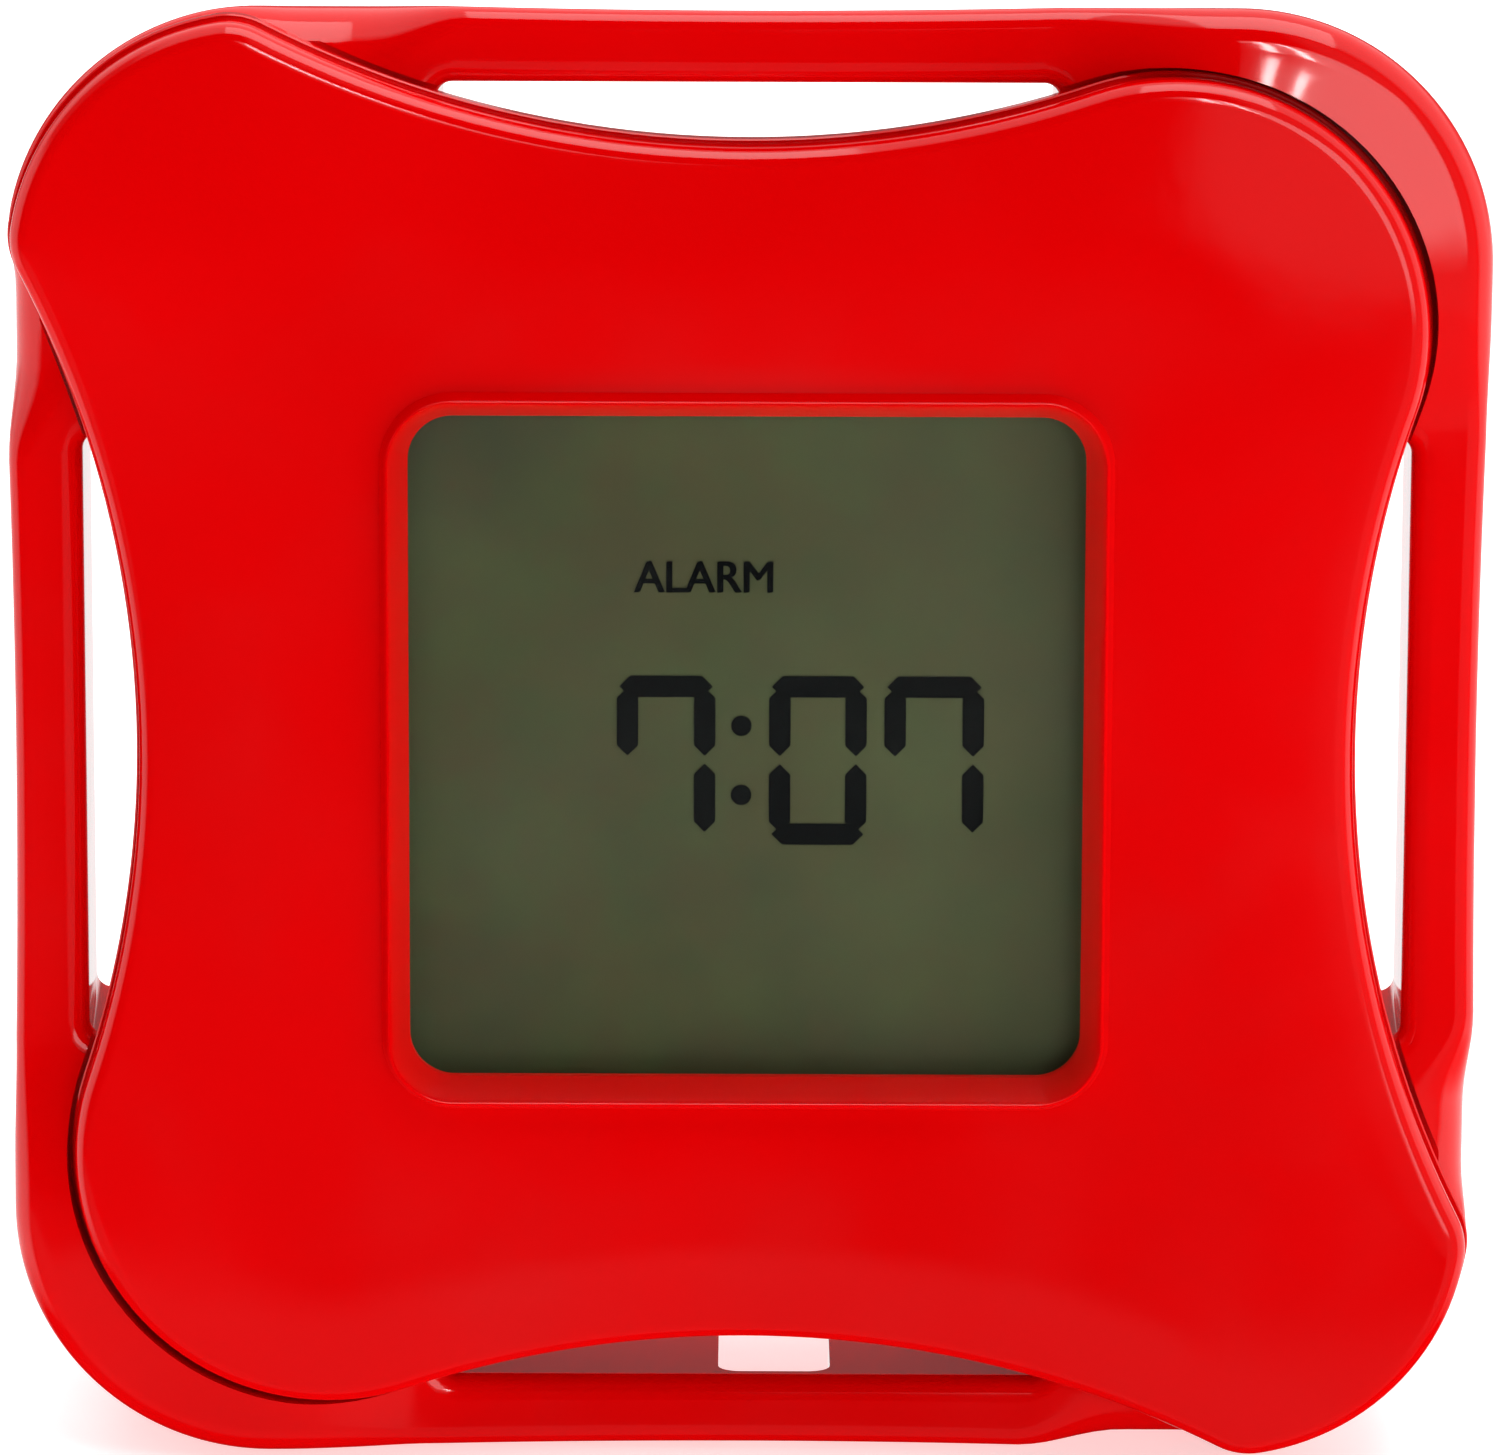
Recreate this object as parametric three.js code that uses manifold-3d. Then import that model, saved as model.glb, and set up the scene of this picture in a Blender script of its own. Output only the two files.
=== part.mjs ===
// Turn-over alarm clock: a square battery clock that stands on any of its four sides. A horned front cover
// and a flanged housing clamp a ring frame between them; the display looks out through the cover.
// Millimetres. The clock is drawn face on (x to the right, y into the clock, z up, y = 0 at the front edge
// of the window), then leans back so that its tapered underside lies flat on the table.

import * as THREE from "three";
import { mergeVertices } from "three/addons/utils/BufferGeometryUtils.js";
import Module from "manifold-3d";

// Shared fits
const fitGap = 0.3; // clearance between neighbouring pieces
const overrun = 2; // how far a cutter runs past what it cuts
const weldDistance = 1e-4;

// Ring frame: bars along four sides, blocks at four corners
const sideHollow = 0.25; // the long sides bow inwards this much
const caseCornerRadius = 16.6;
const sideTaperDegrees = 8;
const barFrontDepth = 2.4;
const barBackDepth = 17;
const barRounding = 1.6;
const barThickness = 5;
const slotWidth = 6.5; // from a bar to the housing's wall
const padFrontDepth = -0.2;
const padSlope = 0.7;
const padRounding = 2.4;
const blockBackDepth = 23;
const blockRounding = 1.5;
const coreWall = 2; // walls round the hollows in the backs of the corner blocks
const coreRib = 1.2;
const blendStart = 20; // along a side, where a bar starts to rise into its corner block
const blendEnd = 31;
const ringCapHalf = 20;
const ringBandWidth = 7;
const slotHalfLength = 20;
const slotCornerRadius = 1;
const slotRounding = 1.4; // of the slots' front edges
const slotDraftDegrees = 2; // the bars get thinner backwards on the slots' side too
const strapSlotLength = 7.4;
const strapSlotSetback = 1.9; // from the bar's front; at the bar's back the slot is open
const strapSlotShift = 2;
const strapSlotRadius = 1.5;

// Front cover: arched sides, two long horns that reach the ring's corners and two short ones
const mouthWidth = 3.7; // from a bar to the middle of the cover's side
const coverArchRadius = 69;
const padWidth = 4.2; // the ring's pad shows this much beside a short horn
const longHornTipRadius = 4.5;
const coverEdgeDepth = -1.4;
const coverEdgeRound = 1.3;
const coverRimDepth = 1.4;
const coverRimWall = 2;
const coverFaceWall = 1.9;
const windowWidth = 43.7;
const windowCornerRadius = 2.9;
const bevelWidth = 1.15; // from the window's edge up to the ridge round it
const ridgeRise = 2.5;
const ridgeTopWidth = 0.25;
const ridgeWallWidth = 0.4;
const ridgeHeight = 1.1; // the ridge over the cover's plate
const domeSwell = 0.35;
const lipThickness = 0.8;
const lensRibWall = 1.5;

// Housing: tub with a flange under the cover
const flangeMargin = 0.3; // the flange shows this much past the cover's edge
const flangeThickness = 1.1;
const housingCornerRadius = 12;
const housingTaperDegrees = 3;
const housingWall = 1.8;
const housingFloor = 2.4;
const housingRounding = 1.6;

// Case screws, driven from the back through the ring's corner blocks into the cover's bosses
const caseScrewWall = 1.55; // ring material between the screw's bore and the housing
const caseScrewHeadRadius = 2.4;
const caseScrewHeadHeight = 1.8;
const caseScrewRadius = 1.2;
const caseScrewLength = 9.5;
const caseBossRadius = 2.2;
const caseBossDepth = 10;
const caseBossRoof = 1.2;
const caseWeb = 2.4;

// Display stack
const lensLap = 2.15; // the lens runs this far under the window's edge
const lensThickness = 1.2;
const lensCornerRadius = 3.6;
const glassThickness = 1.2;
const glassLedge = 3; // the front glass stands out past the back glass, for the connectors
const reflectorThickness = 0.2;
const carrierWall = 2.6;
const carrierShelf = 1.2;
const carrierLegLength = 1.7;
const carrierCornerRadius = 2;
const carrierPegRadius = 0.9;
const carrierPegLength = 2.6;
const zebraInset = 2;
const zebraThickness = 1.8;

// Circuit board and what is on it
const boardMargin = 2; // board outside the screws' centres
const boardRoom = 3.6; // from the board's edge to the housing's wall
const boardThickness = 1.6;
const boardPartsRoom = 0.4; // from the tallest piece on the board to the battery bay
const boardCornerRadius = 2;
const boardScrewRadius = 1;
const boardScrewHeadRadius = 1.9;
const boardScrewHeadHeight = 1.3;
const boardScrewLength = 8;
const boardBossRadius = 2;
const blobRadius = 6.5;
const blobHeight = 1.5;
const blobDrop = 12;
const crystalRadius = 1;
const crystalLength = 6;
const crystalShift = 11;
const crystalDrop = 3;

// Tilt switches: a ball in a can, the two cans leaning to either side
const tiltRadius = 2;
const tiltLength = 8;
const tiltWall = 0.3;
const tiltBaseThickness = 1;
const tiltBallRadius = 1.4;
const tiltShift = 15;
const tiltDrop = 14;
const tiltDegrees = 45;
const tiltBallClearance = 0.15;

// Sounder
const buzzerRadius = 9;
const buzzerThickness = 0.3;
const ceramicRadius = 6.5;
const ceramicThickness = 0.3;
const buzzerShift = 16;
const buzzerRise = 22;
const buzzerSeatHeight = 1.2;
const buzzerSeatWall = 1.2;
const soundHoleRadius = 0.7;
const soundHoleSpacing = 2.6;
const soundHoleCount = 6;
const leadRadius = 0.5;
const leadReach = 4; // the wires' feet stand this far aside, each way

// Push buttons in a row across the back
const buttonLength = 9;
const buttonHeight = 5;
const buttonProud = 0.9;
const buttonEdge = 0.4;
const buttonTravel = 0.5;
const buttonPitch = 16;
const buttonRise = 8;
const buttonFlange = 0.9;
const buttonFlangeThickness = 0.8;
const buttonStemRadius = 1.4;
const switchWidth = 6;
const switchHeight = 3.5;
const plungerRadius = 1.6;
const plungerProud = 2;
const plungerSunk = 1.2;

// Alarm slide
const slideShift = -16;
const slideRise = 22;
const slideTravel = 3;
const knobLength = 6;
const knobHeight = 4.4;
const knobThickness = 1.3;
const knobEdge = 0.3;
const knobGrooveWidth = 0.5;
const knobGrooveCount = 3;
const knobRecess = 1;
const knobNeckLength = 3.4;
const knobNeckHeight = 2.2;
const knobFlangeMargin = 1.2;
const knobFlangeThickness = 1;
const leverWidth = 1.6;
const slideBodyLength = 10;
const slideBodyHeight = 4.4;
const slideBodyThickness = 3.5;
const slideBodyFloor = 0.8;

// Battery bay, contacts and door; the cells are AAA
const cellRadius = 5.25;
const cellLength = 43.5;
const cellNubRadius = 1.9;
const cellNubLength = 1;
const cellPitch = 11.6;
const cellClearance = 0.4;
const cellEdge = 0.5;
const bayWall = 1.2;
const doorMargin = 1.6;
const doorThickness = 1.6;
const doorCornerRadius = 2;
const doorRibThickness = 0.6;
const doorRibShare = 0.3;
const doorGripWidth = 12;
const doorGripHeight = 3;
const doorGripDepth = 0.6;
const contactThickness = 0.5;
const contactWidth = 8;
const contactTailWidth = 2;
const springLength = 5;
const springWireRadius = 0.3;
const springBaseRadius = 3.4;
const springTipRadius = 2;
const springTurns = 2.75;

// Facets
const sideSteps = 4;
const blendSteps = 3;
const tipSteps = 2;
const cornerSteps = 6;
const roundSteps = 3;
const backRoundSteps = 2;
const boreSides = 12;
const smallSides = 8;
const springStepsPerTurn = 8;
const springSides = 5;
const leadSteps = 8;
const leadSides = 6;

// Worked out from the sizes above
const lensWidth = windowWidth + 2 * lensLap;
const glassWidth = lensWidth;
const backGlassHeight = glassWidth - 2 * glassLedge;
const zebraLength = glassWidth - 2 * zebraInset;
const carrierHalf = glassWidth / 2 + fitGap + carrierWall;
const carrierPegOffset = carrierHalf - carrierWall / 2;
const boardScrewOffset = carrierHalf + fitGap + boardScrewHeadRadius;
const boardWidth = 2 * (boardScrewOffset + boardMargin);
const housingHalf = boardWidth / 2 + boardRoom + housingWall;
const barInnerHalf = housingHalf + slotWidth;
const caseHalf = barInnerHalf + barThickness;
const coverApexHalf = barInnerHalf - mouthWidth;
const shortHornReach = caseHalf - padWidth;
const housingDiagonal = Math.SQRT2 * (housingHalf - housingCornerRadius) + housingCornerRadius;
const caseScrewDiagonal = housingDiagonal + 2 * fitGap + caseScrewWall + caseBossRadius;
const caseScrewOffset = Math.SQRT1_2 * caseScrewDiagonal;
const widestDepth = padFrontDepth + padSlope + padRounding; // the sides taper backwards from here
const taperSlope = Math.tan(THREE.MathUtils.degToRad(sideTaperDegrees));
const housingSlope = Math.tan(THREE.MathUtils.degToRad(housingTaperDegrees));
const windowHalf = windowWidth / 2;
const plateRise = ridgeRise - ridgeHeight;
const flangeFront = coverRimDepth + fitGap;
const flangeBack = flangeFront + flangeThickness;
const lensFront = lipThickness + fitGap;
const lensBack = lensFront + lensThickness;
const lensHalf = lensWidth / 2;
const glassFront = lensBack + fitGap;
const glassMiddle = glassFront + glassThickness;
const glassBack = glassMiddle + glassThickness;
const reflectorFront = glassBack + fitGap;
const reflectorBack = reflectorFront + reflectorThickness;
const shelfFront = reflectorBack + fitGap;
const boardDepth = shelfFront + carrierShelf + carrierLegLength + fitGap;
const boardBack = boardDepth + boardThickness;
const partDepth = boardBack + fitGap; // what is mounted on the board starts here
const bayFront = partDepth + 2 * tiltRadius + boardPartsRoom + bayWall;
const cellDepth = bayFront + cellClearance + cellRadius;
const doorFront = cellDepth + cellRadius + cellClearance + doorRibThickness;
const housingDepth = doorFront + doorThickness;
const floorFront = housingDepth - housingFloor;
const cellSpan = cellLength + cellNubLength;
const bayLength = cellSpan + springLength + 2 * contactThickness + 5 * fitGap;
const bayHalfLength = bayLength / 2;
const bayHalfHeight = cellPitch / 2 + cellRadius + cellClearance;
const bayDrop = boardScrewOffset - boardBossRadius - bayHalfHeight - bayWall; // below the clock's middle

const clock = new THREE.Group();

// Turns a closed geometry into a solid that can be joined and cut.
const wasm = await Module();
wasm.setup();
function solidOf(geometry) {
  const bare = new THREE.BufferGeometry();
  bare.setAttribute("position", geometry.getAttribute("position"));
  bare.setIndex(geometry.index);
  const welded = mergeVertices(bare, weldDistance);
  const vertProperties = new Float32Array(welded.getAttribute("position").array);
  const triVerts = new Uint32Array(welded.index.array);
  return new wasm.Manifold(new wasm.Mesh({ numProp: 3, vertProperties, triVerts }));
}

function geometryOf(solid) {
  const mesh = solid.getMesh();
  const geometry = new THREE.BufferGeometry();
  geometry.setAttribute("position", new THREE.BufferAttribute(mesh.vertProperties, 3));
  geometry.setIndex(new THREE.BufferAttribute(mesh.triVerts, 1));
  geometry.computeVertexNormals();
  return geometry;
}

function joined(first, ...others) {
  return others.reduce((sum, next) => sum.add(next), first);
}

function cut(first, ...others) {
  return others.reduce((rest, next) => rest.subtract(next), first);
}

function finish(color, roughness, metalness = 0) {
  return { color, roughness, metalness };
}

const finishes = {
  redGloss: finish(0xd30612, 0.12),
  redInner: finish(0xb80712, 0.3),
  clear: finish(0xdfe6e2, 0.05),
  panel: finish(0x545c46, 0.25),
  foil: finish(0xb9bdb4, 0.35, 0.6),
  paleResin: finish(0xe4e2da, 0.5),
  pinkRubber: finish(0xc98f93, 0.7),
  boardGreen: finish(0x2f6b3c, 0.5),
  blackResin: finish(0x17181a, 0.35),
  steel: finish(0xb4b7ba, 0.3, 1),
  nickel: finish(0xc9c6bd, 0.3, 1),
  brass: finish(0xc7a14a, 0.35, 1),
  ceramic: finish(0xe9e6dc, 0.6),
  cellWrap: finish(0x3a4653, 0.35),
  redWire: finish(0xa81a1a, 0.5),
  blackWire: finish(0x1c1c1e, 0.5),
};

function addPiece(name, shape, look) {
  const geometry = shape.isBufferGeometry ? shape : geometryOf(shape);
  const mesh = new THREE.Mesh(geometry, new THREE.MeshStandardMaterial(look));
  mesh.name = name;
  clock.add(mesh);
  return mesh;
}

// Points on an arc from one point to another the short way round, without the last point.
function arcPoints(centre, from, to, steps) {
  const radius = from.distanceTo(centre);
  const start = Math.atan2(from.y - centre.y, from.x - centre.x);
  const end = Math.atan2(to.y - centre.y, to.x - centre.x);
  const sweep = Math.atan2(Math.sin(end - start), Math.cos(end - start));
  return Array.from({ length: steps }, (_, i) => {
    const angle = start + (sweep * i) / steps;
    return new THREE.Vector2(centre.x + radius * Math.cos(angle), centre.y + radius * Math.sin(angle));
  });
}

function linePoints(from, to, steps) {
  return Array.from({ length: steps }, (_, i) => from.clone().lerp(to, i / steps));
}

// Where two circles meet, on the left of the way from the first centre to the second.
function circlesMeet(first, firstRadius, second, secondRadius) {
  const way = second.clone().sub(first);
  const apart = way.length();
  const along = (apart ** 2 + firstRadius ** 2 - secondRadius ** 2) / (2 * apart);
  const aside = Math.sqrt(firstRadius ** 2 - along ** 2);
  way.normalize();
  const left = new THREE.Vector2(-way.y, way.x);
  return first.clone().addScaledVector(way, along).addScaledVector(left, aside);
}

const swapped = (p) => new THREE.Vector2(p.y, p.x);

// Half a corner of an outline with hollow sides: from the middle of the right side to the diagonal.
// The side is an arc about a far centre; the corner is an arc, met directly or through a small tip radius.
function halfCorner(apexHalf, archRadius, corner, offset) {
  const archCentre = new THREE.Vector2(apexHalf + archRadius, 0);
  const centre = new THREE.Vector2(corner.centre, corner.centre);
  const radius = corner.radius + offset;
  const arch = archRadius - offset;
  const apex = new THREE.Vector2(apexHalf + offset, 0);
  const diagonal = new THREE.Vector2(Math.SQRT1_2, Math.SQRT1_2).multiplyScalar(radius).add(centre);
  if (!corner.tip) {
    const meet = centre.clone().sub(archCentre).setLength(arch).add(archCentre);
    const split = arcPoints(centre, meet, diagonal, tipSteps + cornerSteps / 2);
    return [...arcPoints(archCentre, apex, meet, sideSteps), ...split, diagonal];
  }
  const tip = corner.tip + offset;
  const tipCentre = circlesMeet(centre, radius - tip, archCentre, arch + tip);
  const onArch = tipCentre.clone().sub(archCentre).setLength(arch).add(archCentre);
  const onCorner = tipCentre.clone().sub(centre).setLength(radius).add(centre);
  return [
    ...arcPoints(archCentre, apex, onArch, sideSteps),
    ...arcPoints(tipCentre, onArch, onCorner, tipSteps),
    ...arcPoints(centre, onCorner, diagonal, cornerSteps / 2),
    diagonal,
  ];
}

// The half corner of a plain rounded square, with the same number of points.
function halfSquareCorner(half, radius, sides) {
  const centre = new THREE.Vector2(half - radius, half - radius);
  const start = new THREE.Vector2(half, 0);
  const meet = new THREE.Vector2(half, half - radius);
  const diagonal = new THREE.Vector2(Math.SQRT1_2, Math.SQRT1_2).multiplyScalar(radius).add(centre);
  const round = arcPoints(centre, meet, diagonal, tipSteps + cornerSteps / 2);
  return [...linePoints(start, meet, sides), ...round, diagonal];
}

// Mirrors a half corner into a whole one, and lays four of them round the middle, anticlockwise.
function wholeOutline(halfCorners) {
  const origin = new THREE.Vector2();
  return halfCorners.flatMap((half, quarter) => {
    const back = half.slice(1, -1).reverse().map(swapped);
    const corner = [...half, ...back];
    return corner.map((p) => p.clone().rotateAround(origin, (quarter * Math.PI) / 2));
  });
}

function squareOutline(half, radius, sides = sideSteps) {
  return wholeOutline(Array(4).fill(halfSquareCorner(half, radius, sides)));
}

// A rounded box from one height to another, the same width to both sides of the middle.
function boxOutline(half, low, high, radius) {
  const [w, bottom, top] = [half - radius, low + radius, high - radius];
  return [[w, bottom], [w, top], [-w, top], [-w, bottom]].flatMap(([x, z], quarter) =>
    Array.from({ length: roundSteps + 1 }, (_, i) => {
      const angle = (Math.PI / 2) * (quarter - 1 + i / roundSteps);
      return new THREE.Vector2(x + radius * Math.cos(angle), z + radius * Math.sin(angle));
    }),
  );
}

// The ring's outline: each side hollow in the middle, with a flat foot before each corner.
function ringOutline(offset) {
  const centre = new THREE.Vector2(caseHalf - caseCornerRadius, caseHalf - caseCornerRadius);
  const side = caseHalf + offset;
  const [blendFrom, blendTo] = [new THREE.Vector2(blendStart, 0), new THREE.Vector2(blendEnd, 0)];
  const places = [
    ...Array.from({ length: sideSteps }, (_, i) => (blendStart * i) / sideSteps),
    ...linePoints(blendFrom, blendTo, blendSteps).map((p) => p.x),
    blendEnd,
  ];
  const hollowAt = (z) => sideHollow * Math.max(0, 1 - (z / blendStart) ** 2);
  const hollow = places.map((z) => new THREE.Vector2(side - hollowAt(z), z));
  const meet = new THREE.Vector2(side, centre.y);
  const radius = caseCornerRadius + offset;
  const diagonal = new THREE.Vector2(Math.SQRT1_2, Math.SQRT1_2).multiplyScalar(radius).add(centre);
  const round = arcPoints(centre, meet, diagonal, tipSteps + cornerSteps / 2);
  return wholeOutline(Array(4).fill([...hollow, ...round, diagonal]));
}

// The cover's outline: short horns at upper right and lower left, long ones at the other two corners.
function coverOutline(offset) {
  const rise = shortHornReach - coverApexHalf;
  const spread = rise * (shortHornReach + coverApexHalf + 2 * coverArchRadius);
  const shortCentre = Math.sqrt(rise ** 2 + spread) - rise;
  const shortHorn = { centre: shortCentre, radius: shortHornReach - shortCentre };
  const longHorn = {
    centre: caseHalf - caseCornerRadius,
    radius: caseCornerRadius - 2 * flangeMargin,
    tip: longHornTipRadius,
  };
  const half = (corner) => halfCorner(coverApexHalf, coverArchRadius, corner, offset);
  return wholeOutline([half(shortHorn), half(longHorn), half(shortHorn), half(longHorn)]);
}

// A loft through sections of equally many points. A section is an outline and a depth, or a depth for each
// point. Open lofts get a cap at each end; a looped loft closes on its first section.
function loft(sections, looped = false) {
  const count = sections[0].outline.length;
  const positions = sections.flatMap(({ outline, depth }) =>
    outline.flatMap((p, i) => [p.x, Array.isArray(depth) ? depth[i] : depth, p.y]),
  );
  const index = [];
  const spans = looped ? sections.length : sections.length - 1;
  for (let j = 0; j < spans; j++) {
    const here = j * count;
    const next = ((j + 1) % sections.length) * count;
    for (let i = 0; i < count; i++) {
      const k = (i + 1) % count;
      index.push(here + i, next + i, here + k, here + k, next + i, next + k);
    }
  }
  if (!looped) {
    const last = (sections.length - 1) * count;
    const front = THREE.ShapeUtils.triangulateShape(sections[0].outline, []);
    const back = THREE.ShapeUtils.triangulateShape(sections.at(-1).outline, []);
    front.forEach(([a, b, c]) => index.push(a, b, c));
    back.forEach(([a, b, c]) => index.push(last + a, last + c, last + b));
  }
  const geometry = new THREE.BufferGeometry();
  geometry.setAttribute("position", new THREE.Float32BufferAttribute(positions, 3));
  geometry.setIndex(index);
  return solidOf(geometry);
}

const section = (outline, depth) => ({ outline, depth });

// A rounded rectangle, its middle at (x, z), from one depth to another, with an optional rounded back edge.
function slab(width, height, radius, front, back, x = 0, z = 0, edge = 0) {
  const r = Math.min(radius, width / 2, height / 2);
  const [w, h] = [width / 2 - edge, height / 2 - edge];
  const inner = Math.max(r - edge, 0);
  const shape = new THREE.Shape();
  shape.moveTo(-w + inner, -h);
  shape.lineTo(w - inner, -h);
  if (inner) shape.absarc(w - inner, -h + inner, inner, -Math.PI / 2, 0);
  shape.lineTo(w, h - inner);
  if (inner) shape.absarc(w - inner, h - inner, inner, 0, Math.PI / 2);
  shape.lineTo(-w + inner, h);
  if (inner) shape.absarc(-w + inner, h - inner, inner, Math.PI / 2, Math.PI);
  shape.lineTo(-w, -h + inner);
  if (inner) shape.absarc(-w + inner, -h + inner, inner, Math.PI, 1.5 * Math.PI);
  const options = { depth: back - front, bevelEnabled: false, curveSegments: roundSteps };
  if (edge) {
    options.depth = back - front - 2 * edge;
    Object.assign(options, { bevelEnabled: true, bevelSize: edge, bevelThickness: edge });
    options.bevelSegments = 1;
  }
  const geometry = new THREE.ExtrudeGeometry(shape, options);
  geometry.rotateX(Math.PI / 2);
  geometry.translate(x, back - edge, z);
  return solidOf(geometry);
}

// A round bar along the depth of the clock.
function roundBar(radius, front, back, x = 0, z = 0, sides = boreSides) {
  const geometry = new THREE.CylinderGeometry(radius, radius, back - front, sides);
  geometry.translate(x, (front + back) / 2, z);
  return solidOf(geometry);
}

// A turned piece; its profile is given as pairs of radius and place along the axis, which is y.
function turned(profile, sides = boreSides) {
  const points = profile.map(([r, y]) => new THREE.Vector2(r, y));
  return solidOf(new THREE.LatheGeometry(points, sides));
}

const cornerSigns = [
  [1, 1],
  [-1, 1],
  [-1, -1],
  [1, -1],
];

// Makes a piece at each of the four corners.
function atCorners(offset, make) {
  return cornerSigns.map(([sx, sz], i) => make(sx * offset, sz * offset, i));
}

function smooth(value, low, high) {
  const t = THREE.MathUtils.clamp((value - low) / (high - low), 0, 1);
  return t * t * (3 - 2 * t);
}

// How far a point of the ring's outline has risen from bar (0) to corner block (1).
function blockShare(p) {
  return smooth(Math.min(Math.abs(p.x), Math.abs(p.y)), blendStart, blendEnd);
}

// The same, only at the corners with short horns, where the ring shows as a pad beside the cover.
function padShare(p) {
  return p.x * p.y > 0 ? blockShare(p) : 0;
}

function mixed(shares, from, to) {
  return shares.map((s) => from + (to - from) * s);
}

// The solid block that the ring is cut from: rounded front edge, tapered sides, rounded back edge.
function ringBlank() {
  const base = ringOutline(0);
  const pads = base.map(padShare);
  const blocks = base.map(blockShare);
  const cap = squareOutline(ringCapHalf, slotCornerRadius, sideSteps + blendSteps + 1);
  const sections = [section(cap, barFrontDepth)];
  sections.push(section(ringOutline(-ringBandWidth), mixed(pads, barFrontDepth, padFrontDepth)));
  const turn = Math.PI / 2;
  for (let i = 0; i <= roundSteps; i++) {
    const angle = (turn * i) / roundSteps;
    const fronts = mixed(pads, barFrontDepth, padFrontDepth + padSlope);
    const rounds = mixed(pads, barRounding, padRounding);
    const depth = fronts.map((front, k) => front + rounds[k] * (1 - Math.cos(angle)));
    const taper = depth.map((d) => taperSlope * Math.max(0, d - widestDepth));
    const insets = rounds.map((r, k) => r * (1 - Math.sin(angle)) + taper[k]);
    sections.push(section(insetEach(insets), depth));
  }
  const backs = mixed(blocks, barBackDepth, blockBackDepth);
  for (let i = 0; i <= backRoundSteps; i++) {
    const angle = (turn * i) / backRoundSteps;
    const depth = backs.map((back) => back - blockRounding * (1 - Math.sin(angle)));
    const rounding = blockRounding * (1 - Math.cos(angle));
    const insets = depth.map((d) => taperSlope * (d - widestDepth) + rounding);
    sections.push(section(insetEach(insets), depth));
  }
  sections.push(section(ringOutline(-ringBandWidth - blockRounding), backs));
  sections.push(section(cap, barBackDepth));
  return loft(sections);
}

// The ring's outline with a separate inset for each point, measured from the widest line.
function insetEach(insets) {
  const full = ringOutline(0);
  const step = ringOutline(-fitGap);
  return full.map((p, i) => p.clone().lerp(step[i], insets[i] / fitGap));
}

function housingHalfAt(depth) {
  return housingHalf - housingSlope * (depth - flangeBack);
}

// A tapered plug of the housing's outline, grown or shrunk by an offset.
function housingPlug(offset, front, back) {
  const outlineAt = (depth) => {
    const half = housingHalfAt(depth) + offset;
    return squareOutline(half, housingCornerRadius - (housingHalf - half));
  };
  return loft([section(outlineAt(front), front), section(outlineAt(back), back)]);
}

// One of the four through slots between a bar and the housing, turned to its side.
function sideSlot(quarter) {
  const back = blockBackDepth + overrun;
  const draft = Math.tan(THREE.MathUtils.degToRad(slotDraftDegrees)) * (back - barFrontDepth);
  const slotOutline = (grow, deepen = 0) => {
    const reach = barInnerHalf + grow + deepen;
    return boxOutline(slotHalfLength + grow, ringCapHalf, reach, slotCornerRadius + grow);
  };
  const sections = [section(slotOutline(slotRounding), padFrontDepth - overrun)];
  for (let i = 0; i <= roundSteps; i++) {
    const angle = ((Math.PI / 2) * i) / roundSteps;
    const grow = slotRounding * (1 - Math.sin(angle));
    sections.push(section(slotOutline(grow), barFrontDepth + slotRounding * (1 - Math.cos(angle))));
  }
  sections.push(section(slotOutline(0, draft), back));
  return loft(sections).rotate([0, quarter * 90, 0]);
}

// The hollow in the back of one corner block: it goes round the case screw's tube, and a rib ties the tube
// to the outer wall.
function blockCore(quarter) {
  const [front, back] = [flangeBack + fitGap + coreWall, blockBackDepth + overrun];
  const wallAt = (depth) => ringOutline(-coreWall - taperSlope * (depth - widestDepth));
  const start = slotHalfLength + coreWall;
  const width = caseHalf - start;
  const reach = start + width / 2;
  const room = loft([section(wallAt(front), front), section(wallAt(back), back)])
    .intersect(slab(width, width, 0, front, back, reach, reach));
  const tubeRadius = caseScrewHeadRadius + fitGap + coreWall;
  const tube = roundBar(tubeRadius, front, back, caseScrewOffset, caseScrewOffset);
  const rib = slab(coreRib, 2 * Math.SQRT2 * caseHalf, 0, front, back).rotate([0, 45, 0]);
  return cut(room, housingPlug(fitGap + coreWall, front, back), tube, rib).rotate([0, quarter * 90, 0]);
}

function ringFrame() {
  const recess = loft([
    section(coverOutline(flangeMargin + fitGap), padFrontDepth - overrun),
    section(coverOutline(flangeMargin + fitGap), flangeBack + fitGap),
  ]);
  const hole = housingPlug(fitGap, padFrontDepth, blockBackDepth + overrun);
  const slots = [0, 1, 2, 3].map(sideSlot);
  const cores = [0, 1, 2, 3].map(blockCore);
  const strapFront = barFrontDepth + strapSlotSetback;
  const strapDepth = barBackDepth + overrun - strapFront;
  const strap = slab(strapSlotLength, strapDepth, strapSlotRadius, -overrun, barThickness + overrun)
    .rotate([90, 0, 0])
    .translate([strapSlotShift, strapFront + strapDepth / 2, -caseHalf]);
  const headDepth = caseBossDepth + fitGap + caseWeb;
  const bores = atCorners(caseScrewOffset, (x, z) => [
    roundBar(caseBossRadius + fitGap, flangeFront, caseBossDepth + fitGap, x, z),
    roundBar(caseScrewRadius + fitGap, flangeFront, blockBackDepth, x, z),
    roundBar(caseScrewHeadRadius + fitGap, headDepth, blockBackDepth + overrun, x, z),
  ]);
  return cut(ringBlank(), recess, hole, ...slots, ...cores, strap, ...bores.flat());
}

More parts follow.
